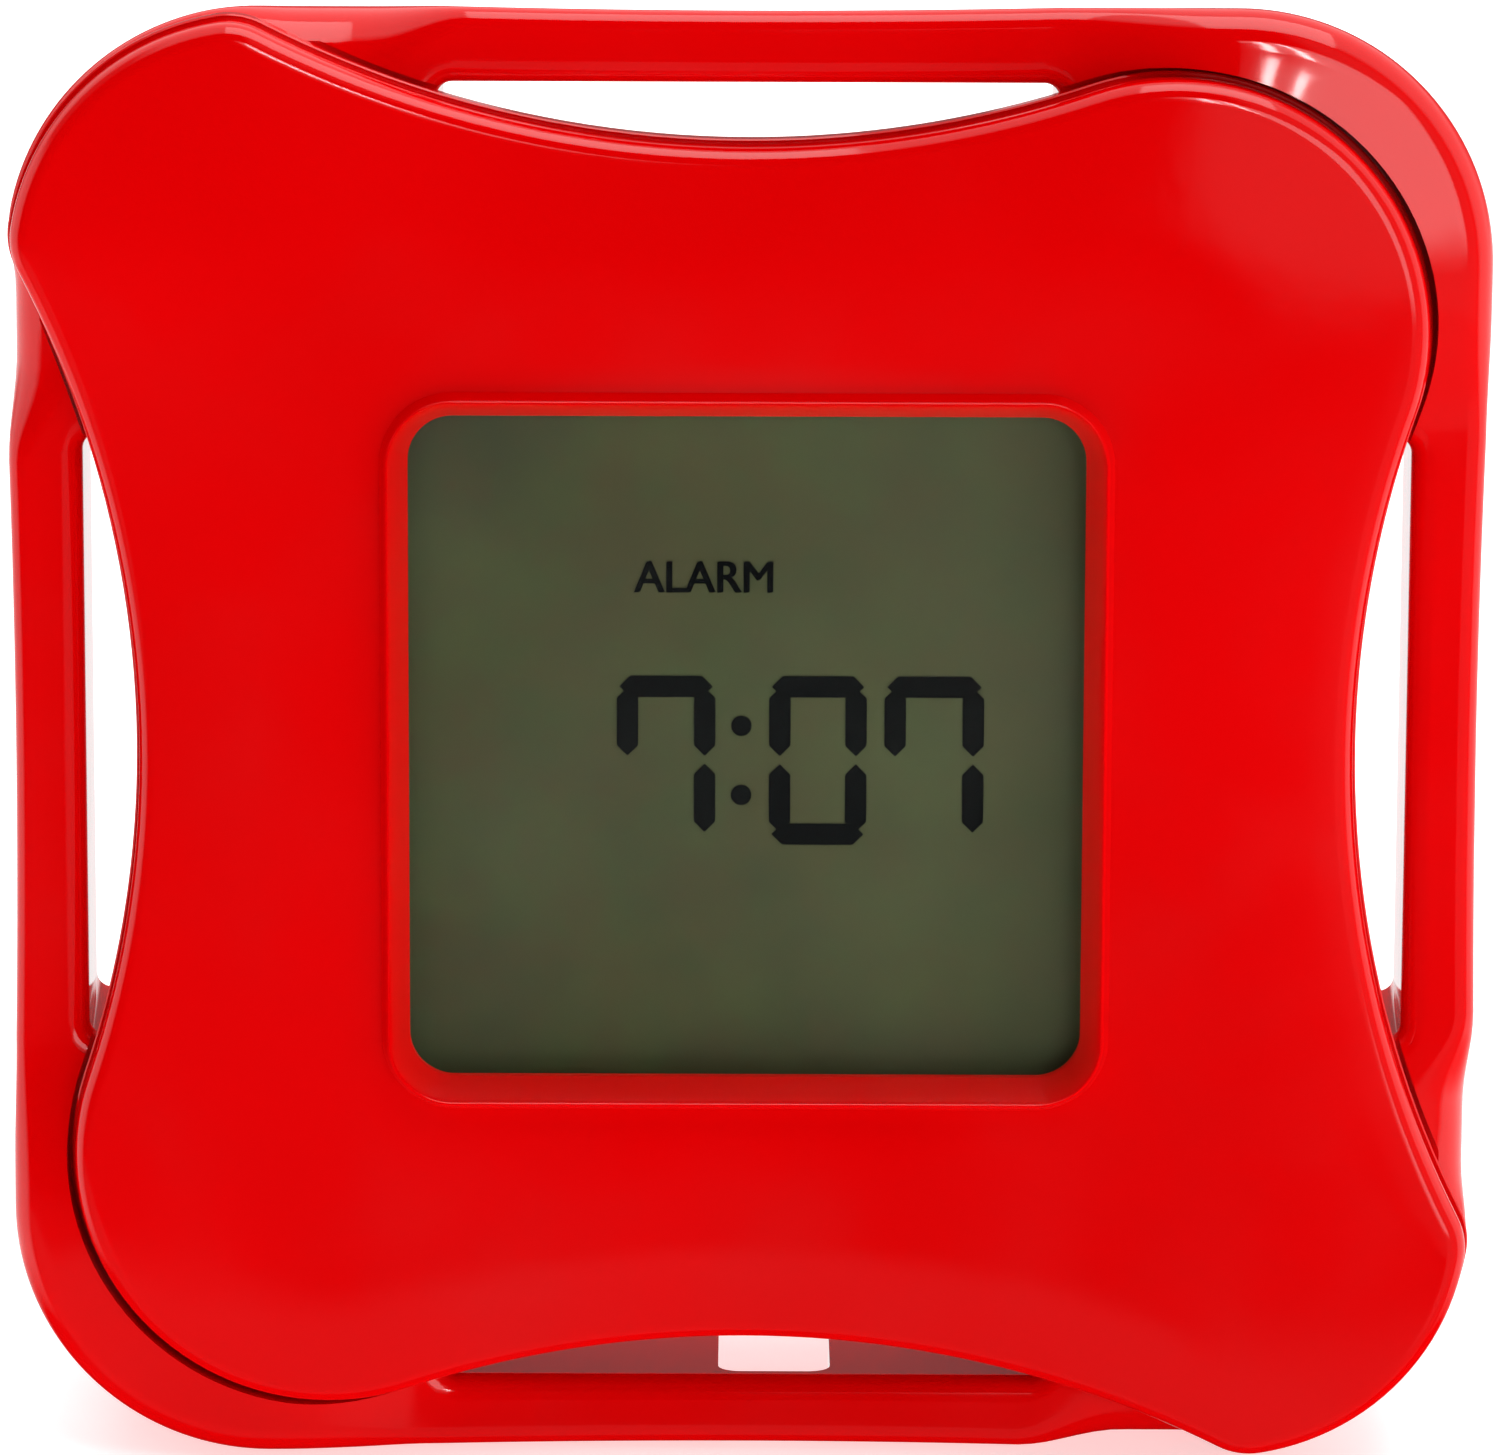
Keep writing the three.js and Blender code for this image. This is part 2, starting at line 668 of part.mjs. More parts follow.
// The cover is one loft round the window: rim, rounded edge, dome, ridge, bevel, lip and hollow underside.
function frontCover() {
  const roundWindow = (offset) => squareOutline(windowHalf + offset, windowCornerRadius + offset);
  const ridgeWidth = bevelWidth + ridgeTopWidth;
  const foot = roundWindow(ridgeWidth + ridgeWallWidth);
  const edge = coverOutline(-coverEdgeRound);
  const between = (t) => edge.map((p, i) => p.clone().lerp(foot[i], t));
  const domeDepth = (t) => {
    const straight = coverEdgeDepth - (coverEdgeDepth + plateRise) * t;
    return straight - domeSwell * 4 * t * (1 - t);
  };
  const sections = [section(coverOutline(0), coverRimDepth)];
  for (let i = 0; i <= roundSteps; i++) {
    const angle = ((Math.PI / 2) * i) / roundSteps;
    const depth = coverEdgeDepth + coverEdgeRound * (1 - Math.sin(angle));
    sections.unshift(section(coverOutline(-coverEdgeRound * (1 - Math.cos(angle))), depth));
  }
  const domeShares = [0.3, 0.65];
  domeShares.forEach((t) => sections.unshift(section(between(t), domeDepth(t))));
  sections.unshift(section(foot, -plateRise));
  sections.unshift(section(roundWindow(ridgeWidth), -ridgeRise));
  sections.unshift(section(roundWindow(bevelWidth), -ridgeRise));
  const windowEdge = roundWindow(0);
  sections.unshift(section(windowEdge, 0));
  sections.unshift(section(windowEdge, lipThickness));
  const pocketHalf = lensHalf + fitGap;
  const pocket = squareOutline(pocketHalf, lensCornerRadius + fitGap);
  sections.unshift(section(pocket, lipThickness));
  sections.unshift(section(pocket, lensBack));
  const ribOuter = squareOutline(pocketHalf + lensRibWall, lensCornerRadius + fitGap + lensRibWall);
  sections.unshift(section(ribOuter, lensBack));
  sections.unshift(section(ribOuter, coverFaceWall - plateRise + domeSwell));
  const hollow = coverOutline(-coverRimWall);
  const hollowRoof = coverEdgeDepth + coverFaceWall;
  sections.unshift(section(hollow, hollowRoof));
  sections.unshift(section(hollow, coverRimDepth));
  const shell = loft(sections, true);
  const roof = coverEdgeDepth + caseBossRoof;
  const pilotFront = caseBossDepth + caseWeb + fitGap - caseScrewLength;
  const bosses = atCorners(caseScrewOffset, (x, z) => roundBar(caseBossRadius, roof, caseBossDepth, x, z));
  const pilots = atCorners(caseScrewOffset, (x, z) =>
    roundBar(caseScrewRadius + fitGap, pilotFront, caseBossDepth + overrun, x, z),
  );
  return cut(joined(shell, ...bosses), ...pilots);
}

const buttonNames = ["set", "mode", "up", "down"];

function buttonX(place) {
  return (place - (buttonNames.length - 1) / 2) * buttonPitch;
}

function soundHoles() {
  const places = [[0, 0]];
  for (let i = 0; i < soundHoleCount; i++) {
    const angle = (2 * Math.PI * i) / soundHoleCount;
    places.push([soundHoleSpacing * Math.cos(angle), soundHoleSpacing * Math.sin(angle)]);
  }
  const [front, back] = [floorFront - overrun, housingDepth + overrun];
  return places.map(([x, z]) =>
    roundBar(soundHoleRadius, front, back, buzzerShift + x, buzzerRise + z, smallSides),
  );
}

function backHousing() {
  const flange = coverOutline(flangeMargin);
  const outlineAt = (depth, inset = 0) => {
    const half = housingHalfAt(depth) - inset;
    return squareOutline(half, housingCornerRadius - (housingHalf - half));
  };
  const sections = [section(flange, flangeFront), section(flange, flangeBack)];
  sections.push(section(outlineAt(flangeBack), flangeBack));
  for (let i = 0; i <= backRoundSteps; i++) {
    const angle = ((Math.PI / 2) * i) / backRoundSteps;
    const depth = housingDepth - housingRounding * (1 - Math.sin(angle));
    sections.push(section(outlineAt(depth, housingRounding * (1 - Math.cos(angle))), depth));
  }
  const shell = cut(loft(sections), housingPlug(-housingWall, flangeFront - overrun, floorFront));
  const rooted = floorFront + bayWall; // what stands on the floor inside reaches into it
  const bayOuter = slab(
    bayLength + 2 * bayWall, 2 * (bayHalfHeight + bayWall), bayWall,
    bayFront - bayWall, rooted, 0, -bayDrop,
  );
  const bosses = atCorners(boardScrewOffset, (x, z) => roundBar(boardBossRadius, partDepth, rooted, x, z));
  const seatFront = floorFront - buzzerSeatHeight;
  const seat = cut(
    roundBar(buzzerRadius + buzzerSeatWall / 2, seatFront, rooted, buzzerShift, buzzerRise),
    roundBar(buzzerRadius - buzzerSeatWall / 2, seatFront - overrun, floorFront, buzzerShift, buzzerRise),
  );
  const body = joined(shell, bayOuter, ...bosses, seat);
  const bay = slab(bayLength, 2 * bayHalfHeight, 0, bayFront, housingDepth + overrun, 0, -bayDrop);
  const doorRoom = doorMargin + fitGap;
  const doorRecess = slab(
    bayLength + 2 * doorRoom, 2 * (bayHalfHeight + doorRoom), doorCornerRadius + fitGap,
    doorFront - fitGap, housingDepth + overrun, 0, -bayDrop,
  );
  const tails = [1, -1].map((side) =>
    slab(
      contactThickness + 2 * fitGap, contactTailWidth + 2 * fitGap, 0,
      bayFront - bayWall - overrun, bayFront + overrun,
      bayHalfLength - fitGap - contactThickness / 2, -bayDrop + (side * cellPitch) / 2,
    ),
  );
  const pilots = atCorners(boardScrewOffset, (x, z) =>
    roundBar(boardScrewRadius + fitGap, partDepth - overrun, boardDepth + boardScrewLength, x, z),
  );
  const caseBores = atCorners(caseScrewOffset, (x, z) =>
    roundBar(caseBossRadius + fitGap, flangeFront - overrun, flangeBack + overrun, x, z),
  );
  const buttonHoles = buttonNames.map((_, place) =>
    slab(
      buttonLength + 2 * fitGap, buttonHeight + 2 * fitGap, buttonHeight,
      floorFront - overrun, housingDepth + overrun, buttonX(place), buttonRise,
    ),
  );
  const slideMiddle = slideShift + slideTravel / 2;
  const slideRecess = slab(
    knobLength + slideTravel + 2 * fitGap, knobHeight + 2 * fitGap, knobEdge,
    housingDepth - knobRecess, housingDepth + overrun, slideMiddle, slideRise,
  );
  const slideSlot = slab(
    knobNeckLength + slideTravel + 2 * fitGap, knobNeckHeight + 2 * fitGap, 0,
    floorFront - overrun, housingDepth, slideMiddle, slideRise,
  );
  return cut(
    body, bay, doorRecess, slideRecess, slideSlot,
    ...tails, ...pilots, ...caseBores, ...buttonHoles, ...soundHoles(),
  );
}

function batteryDoor() {
  const width = bayLength + 2 * doorMargin;
  const height = 2 * (bayHalfHeight + doorMargin);
  const panel = slab(width, height, doorCornerRadius, doorFront, housingDepth, 0, -bayDrop);
  const ribDepths = [doorFront - doorRibThickness, doorFront + doorRibThickness / 2];
  const ribHeight = 2 * (bayHalfHeight - fitGap);
  const ribs = [-1, 0, 1].map((place) =>
    slab(doorRibThickness, ribHeight, 0, ...ribDepths, place * doorRibShare * bayLength, -bayDrop),
  );
  const grip = slab(
    doorGripWidth, doorGripHeight, doorGripHeight,
    housingDepth - doorGripDepth, housingDepth + overrun, 0, -bayDrop + bayHalfHeight - doorGripHeight / 2,
  );
  return cut(joined(panel, ...ribs), grip);
}

// Lens, panel, reflector, carrier and the two rubber connectors, front to back.
function addDisplay() {
  const lens = slab(lensWidth, lensWidth, lensCornerRadius, lensFront, lensBack);
  addPiece("display_lens", lens, finishes.clear);
  const panel = joined(
    slab(glassWidth, glassWidth, 0, glassFront, glassMiddle),
    slab(glassWidth, backGlassHeight, 0, glassMiddle - fitGap, glassBack),
  );
  addPiece("lcd_panel", panel, finishes.panel);
  const foil = slab(glassWidth, backGlassHeight, 0, reflectorFront, reflectorBack);
  addPiece("lcd_reflector", foil, finishes.foil);
  const zebraFront = glassMiddle + fitGap;
  const zebraBack = boardDepth - fitGap;
  const zebraRise = (glassWidth + backGlassHeight) / 4;
  const names = { zebra_strip_upper: zebraRise, zebra_strip_lower: -zebraRise };
  const outer = 2 * carrierHalf;
  const inner = glassWidth + 2 * fitGap;
  let carrier = cut(
    slab(outer, outer, carrierCornerRadius, lensBack + fitGap, boardDepth - fitGap),
    slab(inner, inner, 0, lensBack - overrun, shelfFront),
    slab(inner - carrierWall, inner - carrierWall, 0, shelfFront + carrierShelf, boardDepth + overrun),
  );
  for (const [name, rise] of Object.entries(names)) {
    const strip = slab(zebraLength, zebraThickness, 0, zebraFront, zebraBack, 0, rise);
    addPiece(name, strip, finishes.pinkRubber);
    const slot = slab(
      zebraLength + 2 * fitGap, zebraThickness + 2 * fitGap, 0,
      shelfFront - overrun, boardDepth + overrun, 0, rise,
    );
    carrier = cut(carrier, slot);
  }
  const pegFront = boardDepth - fitGap - carrierWall / 2;
  const pegs = [-1, 1].map((side) =>
    roundBar(carrierPegRadius, pegFront, boardDepth + carrierPegLength, side * carrierPegOffset, 0),
  );
  addPiece("lcd_carrier", joined(carrier, ...pegs), finishes.paleResin);
}

function addBoard() {
  const [front, back] = [boardDepth - overrun, boardBack + overrun];
  const screwHoles = atCorners(boardScrewOffset, (x, z) =>
    roundBar(boardScrewRadius + fitGap, front, back, x, z),
  );
  const pegHoles = [-1, 1].map((side) =>
    roundBar(carrierPegRadius + fitGap, front, back, side * carrierPegOffset, 0),
  );
  const blank = slab(boardWidth, boardWidth, boardCornerRadius, boardDepth, boardBack);
  addPiece("main_board", cut(blank, ...screwHoles, ...pegHoles), finishes.boardGreen);
  const blob = turned([
    [0, 0],
    [blobRadius, 0],
    [blobRadius * Math.cos(Math.PI / 6), blobHeight * Math.sin(Math.PI / 6)],
    [blobRadius * Math.cos(Math.PI / 3), blobHeight * Math.sin(Math.PI / 3)],
    [0, blobHeight],
  ]).translate([0, partDepth, -blobDrop]);
  addPiece("controller_blob", blob, finishes.blackResin);
  const crystal = turned([
    [0, -crystalLength / 2],
    [crystalRadius, -crystalLength / 2],
    [crystalRadius, crystalLength / 2],
    [0, crystalLength / 2],
  ])
    .rotate([90, 0, 0])
    .translate([crystalShift, partDepth + crystalRadius, crystalDrop - crystalLength / 2]);
  addPiece("crystal_can", crystal, finishes.steel);
  atCorners(boardScrewOffset, (x, z, i) => {
    const screw = turned([
      [0, -boardScrewHeadHeight],
      [boardScrewHeadRadius, -boardScrewHeadHeight],
      [boardScrewHeadRadius, 0],
      [boardScrewRadius, 0],
      [boardScrewRadius, boardScrewLength - boardScrewRadius],
      [0, boardScrewLength],
    ]).translate([x, boardDepth - fitGap, z]);
    addPiece(`board_screw_${i + 1}`, screw, finishes.steel);
  });
}

// A tilt switch is a drawn can closed by a moulded base, with a steel ball that rolls along it.
function addTiltSwitch(side) {
  const lean = new THREE.Group();
  lean.position.set(side.sign * tiltShift, partDepth + tiltRadius, -tiltDrop);
  lean.rotation.y = side.sign * THREE.MathUtils.degToRad(90 - tiltDegrees);
  const top = tiltLength / 2;
  const bore = tiltRadius - tiltWall;
  const can = turned([
    [0, top - tiltWall],
    [bore, top - tiltWall],
    [bore, -top],
    [tiltRadius, -top],
    [tiltRadius, top],
    [0, top],
  ]);
  const base = turned([
    [0, -top],
    [bore - fitGap, -top],
    [bore - fitGap, tiltBaseThickness - top],
    [0, tiltBaseThickness - top],
  ]);
  const ball = solidOf(new THREE.SphereGeometry(tiltBallRadius, smallSides, smallSides / 2));
  const add = (name, shape, look) => {
    const mesh = addPiece(`tilt_switch_${side.name}_${name}`, shape.rotate([90, 0, 0]), look);
    lean.add(mesh);
    return mesh;
  };
  add("can", can, finishes.steel);
  add("base", base, finishes.blackResin);
  add("ball", ball, finishes.nickel).position.z =
    tiltBaseThickness + tiltBallClearance + tiltBallRadius - top;
  clock.add(lean);
}

function addSounder() {
  const discBack = floorFront - buzzerSeatHeight - fitGap;
  const discFront = discBack - buzzerThickness;
  const disc = roundBar(buzzerRadius, discFront, discBack, buzzerShift, buzzerRise);
  addPiece("buzzer_disc", disc, finishes.brass);
  const ceramicBack = discFront - fitGap;
  const ceramicFront = ceramicBack - ceramicThickness;
  const ceramic = roundBar(ceramicRadius, ceramicFront, ceramicBack, buzzerShift, buzzerRise);
  addPiece("buzzer_ceramic", ceramic, finishes.ceramic);
  const rim = (ceramicRadius + buzzerRadius) / 2;
  addPiece("buzzer_lead_ceramic", lead(0, ceramicFront - fitGap), finishes.redWire);
  addPiece("buzzer_lead_disc", lead(rim, discFront - fitGap), finishes.blackWire);
}

// A wire from its solder point on the board to the sounder, bowed a little on the way.
function lead(aside, back) {
  const [x, z] = [buzzerShift - aside, buzzerRise];
  const foot = partDepth + leadRadius;
  const middle = (foot + back) / 2;
  const path = new THREE.CatmullRomCurve3([
    new THREE.Vector3(x - leadReach, partDepth, z - leadReach),
    new THREE.Vector3(x - leadReach, (foot + middle) / 2, z - leadReach),
    new THREE.Vector3(x, (middle + back) / 2, z),
    new THREE.Vector3(x, back, z),
  ]);
  const wire = new THREE.Shape();
  wire.absarc(0, 0, leadRadius, 0, 2 * Math.PI);
  const options = { steps: leadSteps, curveSegments: leadSides / 2, extrudePath: path };
  return solidOf(new THREE.ExtrudeGeometry(wire, { ...options, bevelEnabled: false }));
}

// Each button is a cap with a stem that meets the plunger of a tact switch on the board.
function addButton(name, place) {
  const x = buttonX(place);
  const switchBack = partDepth + switchHeight;
  const plungerBack = switchBack + plungerProud;
  const stopBack = floorFront - fitGap;
  const cap = joined(
    slab(
      buttonLength, buttonHeight, buttonHeight,
      floorFront - buttonFlangeThickness, housingDepth + buttonProud, x, buttonRise, buttonEdge,
    ),
    slab(
      buttonLength + 2 * buttonFlange, buttonHeight + 2 * buttonFlange, buttonHeight,
      stopBack - buttonFlangeThickness, stopBack, x, buttonRise,
    ),
    roundBar(buttonStemRadius, plungerBack + fitGap, floorFront, x, buttonRise),
  );
  addPiece(`${name}_button`, cap, finishes.redInner);
  const plunger = roundBar(plungerRadius, switchBack - plungerSunk, plungerBack, x, buttonRise);
  addPiece(`${name}_plunger`, plunger, finishes.blackResin);
  const well = switchBack - plungerSunk - buttonTravel - fitGap;
  const body = cut(
    slab(switchWidth, switchWidth, 0, partDepth, switchBack, x, buttonRise),
    roundBar(plungerRadius + fitGap, well, switchBack + overrun, x, buttonRise),
  );
  addPiece(`${name}_switch`, body, finishes.blackResin);
}

function addAlarmSlide() {
  const neckFront = floorFront - fitGap;
  const knobFront = housingDepth - knobRecess + fitGap;
  const knobBack = knobFront + knobThickness;
  const flangeLength = knobNeckLength + slideTravel + 2 * knobFlangeMargin;
  const bodyBack = partDepth + slideBodyThickness;
  const flangeFrontDepth = neckFront - knobFlangeThickness;
  const place = [slideShift, slideRise];
  const knob = joined(
    slab(knobLength, knobHeight, knobEdge, knobFront - knobEdge, knobBack, ...place, knobEdge),
    slab(knobNeckLength, knobNeckHeight, 0, flangeFrontDepth, knobFront + knobEdge, ...place),
    slab(flangeLength, knobHeight, 0, flangeFrontDepth, neckFront, ...place),
    slab(leverWidth, leverWidth, 0, partDepth + slideBodyFloor + fitGap, neckFront, ...place),
  );
  const grooves = Array.from({ length: knobGrooveCount }, (_, i) => {
    const x = slideShift + (i - (knobGrooveCount - 1) / 2) * 2 * knobGrooveWidth;
    const [front, back] = [knobBack - knobGrooveWidth, knobBack + overrun];
    return slab(knobGrooveWidth, knobHeight + overrun, 0, front, back, x, slideRise);
  });
  addPiece("alarm_knob", cut(knob, ...grooves), finishes.blackResin);
  const middle = slideShift + slideTravel / 2;
  const body = cut(
    slab(slideBodyLength, slideBodyHeight, 0, partDepth, bodyBack, middle, slideRise),
    slab(
      leverWidth + slideTravel + 2 * fitGap, leverWidth + 2 * fitGap, 0,
      partDepth + slideBodyFloor, bodyBack + overrun, middle, slideRise,
    ),
  );
  addPiece("alarm_switch", body, finishes.steel);
}

// A conical spring of round wire, wide end first along x, as one unbroken tube.
function coneSpring() {
  const rise = springLength - 2 * springWireRadius;
  const steps = Math.round(springTurns * springStepsPerTurn);
  const centreAt = (i) => {
    const share = i / steps;
    const angle = 2 * Math.PI * springTurns * share;
    const radius = springBaseRadius + (springTipRadius - springBaseRadius) * share;
    const [y, z] = [radius * Math.cos(angle), radius * Math.sin(angle)];
    return new THREE.Vector3(springWireRadius + rise * share, y, z);
  };
  const centres = Array.from({ length: steps + 1 }, (_, i) => centreAt(i));
  const positions = [];
  centres.forEach((centre, i) => {
    const ahead = centres[Math.min(i + 1, steps)].clone().sub(centres[Math.max(i - 1, 0)]).normalize();
    const outward = new THREE.Vector3(0, centre.y, centre.z).normalize();
    const side = new THREE.Vector3().crossVectors(ahead, outward).normalize();
    const normal = new THREE.Vector3().crossVectors(side, ahead);
    for (let k = 0; k < springSides; k++) {
      const angle = (2 * Math.PI * k) / springSides;
      const point = centre.clone();
      point.addScaledVector(normal, springWireRadius * Math.cos(angle));
      point.addScaledVector(side, springWireRadius * Math.sin(angle));
      positions.push(point.x, point.y, point.z);
    }
  });
  const index = [];
  for (let i = 0; i < steps; i++) {
    for (let k = 0; k < springSides; k++) {
      const [a, b] = [i * springSides + k, i * springSides + ((k + 1) % springSides)];
      index.push(a, b, a + springSides, b, b + springSides, a + springSides);
    }
  }
  for (let k = 1; k < springSides - 1; k++) {
    const last = steps * springSides;
    index.push(0, k + 1, k, last, last + k, last + k + 1);
  }
  const geometry = new THREE.BufferGeometry();
  geometry.setAttribute("position", new THREE.Float32BufferAttribute(positions, 3));
  geometry.setIndex(index);
  let least = Infinity;
  centres.forEach((p, i) =>
    centres.slice(i + springStepsPerTurn / 2).forEach((q) => {
      least = Math.min(least, p.distanceTo(q));
    }),
  );
  console.log(`spring: least gap to itself ${(least - 2 * springWireRadius).toFixed(2)} mm`);
  return solidOf(geometry);
}

function addCell(name, sign, z) {
  const profile = [
    [0, 0],
    [cellRadius - cellEdge, 0],
    [cellRadius, cellEdge],
    [cellRadius, cellLength - cellEdge],
    [cellRadius - cellEdge, cellLength],
    [cellNubRadius, cellLength],
    [cellNubRadius, cellSpan],
    [0, cellSpan],
  ];
  const negativeEnd = sign * (bayHalfLength - 2 * fitGap - contactThickness - cellSpan);
  const cell = turned(profile)
    .rotate([0, 0, -sign * 90])
    .translate([negativeEnd, cellDepth, z]);
  addPiece(`battery_cell_${name}`, cell, finishes.cellWrap);
}

// Two cells head to tail, the plates at their ends and the springs under their flat ends.
function addBattery() {
  const upper = -bayDrop + cellPitch / 2;
  const lower = -bayDrop - cellPitch / 2;
  addCell("lower", 1, lower);
  addCell("upper", -1, upper);
  const plateX = bayHalfLength - fitGap - contactThickness / 2;
  const plateDepths = [bayFront + fitGap, doorFront - doorRibThickness - fitGap];
  const plateAt = (x, height, z) => slab(contactThickness, height, 0, ...plateDepths, x, z);
  const tailBack = bayFront + contactWidth / 2;
  const tail = (z) => slab(contactThickness, contactTailWidth, 0, partDepth, tailBack, plateX, z);
  const tailed = (z) => joined(plateAt(plateX, contactWidth, z), tail(z));
  addPiece("bridge_contact", plateAt(-plateX, cellPitch + contactWidth, -bayDrop), finishes.nickel);
  addPiece("positive_contact", tailed(lower), finishes.nickel);
  addPiece("negative_contact", tailed(upper), finishes.nickel);
  const springX = bayHalfLength - contactThickness - 2 * fitGap;
  const spring = coneSpring();
  const lowerSpring = spring.translate([-springX, cellDepth, lower]);
  const upperSpring = spring.rotate([0, 180, 0]).translate([springX, cellDepth, upper]);
  addPiece("battery_spring_lower", lowerSpring, finishes.nickel);
  addPiece("battery_spring_upper", upperSpring, finishes.nickel);
}

function addCaseScrews() {
  const seat = caseBossDepth + caseWeb + 2 * fitGap;
  atCorners(caseScrewOffset, (x, z, i) => {
    const screw = turned([
      [0, -caseScrewLength],
      [caseScrewRadius, caseScrewRadius - caseScrewLength],
      [caseScrewRadius, 0],
      [caseScrewHeadRadius, 0],
      [caseScrewHeadRadius, caseScrewHeadHeight / 2],
      [caseScrewHeadRadius / 2, caseScrewHeadHeight],
      [0, caseScrewHeadHeight],
    ]).translate([x, seat, z]);
    addPiece(`case_screw_${i + 1}`, screw, finishes.steel);
  });
}

addPiece("front_cover", frontCover(), finishes.redGloss);
addPiece("ring_frame", ringFrame(), finishes.redGloss);
addPiece("back_housing", backHousing(), finishes.redGloss);
addPiece("battery_door", batteryDoor(), finishes.redInner);
addDisplay();
addBoard();
addTiltSwitch({ name: "left", sign: -1 });
addTiltSwitch({ name: "right", sign: 1 });
addSounder();
buttonNames.forEach(addButton);
addAlarmSlide();
addBattery();
addCaseScrews();

// Leans the clock back by its taper, and sets it down with the origin under its middle.
clock.rotation.x = -THREE.MathUtils.degToRad(sideTaperDegrees);
const bounds = new THREE.Box3().setFromObject(clock, true);
const middle = bounds.getCenter(new THREE.Vector3());
clock.position.set(-middle.x, -middle.y, -bounds.min.z);

const part = new THREE.Group();
part.add(clock);
export default part;
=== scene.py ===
from math import atan2, cos, pi, radians, sin, sqrt, tan

import bmesh
import bpy
from mathutils import Matrix, Vector


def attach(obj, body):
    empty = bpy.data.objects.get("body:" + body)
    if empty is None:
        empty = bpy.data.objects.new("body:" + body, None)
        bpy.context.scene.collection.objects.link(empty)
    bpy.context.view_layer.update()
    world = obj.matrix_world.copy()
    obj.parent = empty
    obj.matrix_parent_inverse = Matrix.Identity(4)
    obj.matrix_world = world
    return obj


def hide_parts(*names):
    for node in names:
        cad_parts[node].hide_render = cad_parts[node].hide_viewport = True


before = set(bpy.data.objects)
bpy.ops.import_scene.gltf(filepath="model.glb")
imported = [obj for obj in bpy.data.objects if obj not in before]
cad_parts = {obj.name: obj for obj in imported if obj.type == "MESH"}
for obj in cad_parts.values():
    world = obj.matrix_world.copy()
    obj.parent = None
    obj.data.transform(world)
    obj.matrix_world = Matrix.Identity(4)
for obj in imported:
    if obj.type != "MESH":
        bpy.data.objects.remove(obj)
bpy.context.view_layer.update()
scene = bpy.context.scene

# Millimetres, with the clock face on: x to the right, y into the clock and z up; y = 0 at the window's
# front edge. CLOCK takes that to metres, stands the clock on its feet and leans it back.
SIDE_TAPER = tan(radians(8))
CLOCK = (
    Matrix.Scale(0.001, 4)
    @ Matrix.Translation((0, -13.2953, 47.9365))
    @ Matrix.Rotation(radians(-8), 4, "X")
)

# Ring frame
CASE_HALF = 48
CASE_CORNER = 16.6
SIDE_HOLLOW = 0.25
WIDEST_DEPTH = 2.9
BAR_FRONT, BAR_BACK, BAR_ROUND = 2.4, 17, 1.6
BAR_INNER_HALF = 43
SLOT_ROUND, SLOT_DRAFT = 1.4, tan(radians(2))
BAND_WIDTH = 7
PAD_FRONT, PAD_SLOPE, PAD_ROUND = -0.2, 0.7, 2.4
SHOULDER_ROUND, SHOULDER_RISE, SHOULDER_FALL = 3.2, (18, 25), (29, 35)
BLOCK_BACK, BACK_ROUND = 23, 1.5
BLEND_START, BLEND_END = 20, 31
SLOT_HALF_LENGTH = 20

# Front cover and window
COVER_APEX_HALF = 39.3
COVER_ARCH = 69
SHORT_HORN_REACH = 43.8
LONG_HORN_TIP = 4.5
COVER_EDGE, COVER_EDGE_ROUND, COVER_RIM = -1.4, 1.3, 1.4
WINDOW_HALF, WINDOW_CORNER = 21.85, 2.9
BEVEL_WIDTH, RIDGE_TOP, RIDGE_WALL = 1.15, 0.25, 0.4
RIDGE_RISE, PLATE_RISE = 2.5, 1.4
DOME_SWELL = 0.35

# Housing
FLANGE_MARGIN, FLANGE_FRONT, FLANGE_BACK = 0.3, 1.7, 2.8
HOUSING_HALF, HOUSING_CORNER, HOUSING_TAPER = 36.5, 12, tan(radians(3))
HOUSING_BACK, FLOOR_FRONT, HOUSING_WALL = 30, 27.6, 1.8
BAY_MIDDLE, BUTTON_HEIGHT = -14.45, 8
BUTTONS = {"set": -24, "mode": -8, "up": 8, "down": 24}
SOUND_HOLES, KNOB_WINDOW, KNOB = (16, 22), (-14.5, 22), (-16, 22)
SCREW_OFFSET, BOSS_OFFSET = 36.06, 29.1
QUADRANTS = [(1, 1), (1, -1), (-1, 1), (-1, -1)]
SHARP = 0.01

# Digits: the middle and half width of each, and whether it has its lower left and bottom bars.
DIGITS = [(-5.20296, 2.5102, False), (4.67484, 2.4776, True), (12.23804, 2.5428, False)]
BAR_WIDTH, BAR_HEIGHT, BAR_OVERHANG = 1.4018, 4.53333, 1.0432
DIGIT_TOP, UPPER_BARS, LOWER_BARS, DIGIT_FOOT = 3.62667, 1.29333, -3.77333, -6.17333
COLON_X, COLON_HEIGHTS, COLON_RADIUS = -0.30644, (1.02667, -3.57333), 0.67156
FILM_FRONT, FILM_BACK = 2.52, 2.6


def arc(centre, start, end, steps):
    """Points on an arc the short way round, without its last point."""
    first = atan2(start.y - centre.y, start.x - centre.x)
    last = atan2(end.y - centre.y, end.x - centre.x)
    sweep = atan2(sin(last - first), cos(last - first))
    radius = (start - centre).length
    turns = [first + sweep * i / steps for i in range(steps)]
    return [centre + radius * Vector((cos(t), sin(t))) for t in turns]


def line(start, end, steps):
    return [start.lerp(end, i / steps) for i in range(steps)]


def circles_meet(first, first_radius, second, second_radius):
    """Where two circles meet, on the left of the way from the first centre to the second."""
    way = second - first
    along = (way.length_squared + first_radius**2 - second_radius**2) / (2 * way.length)
    aside = sqrt(first_radius**2 - along**2)
    way.normalize()
    return first + way * along + Vector((-way.y, way.x)) * aside


SIDE_STEPS, TIP_STEPS, CORNER_STEPS = 22, 8, 12


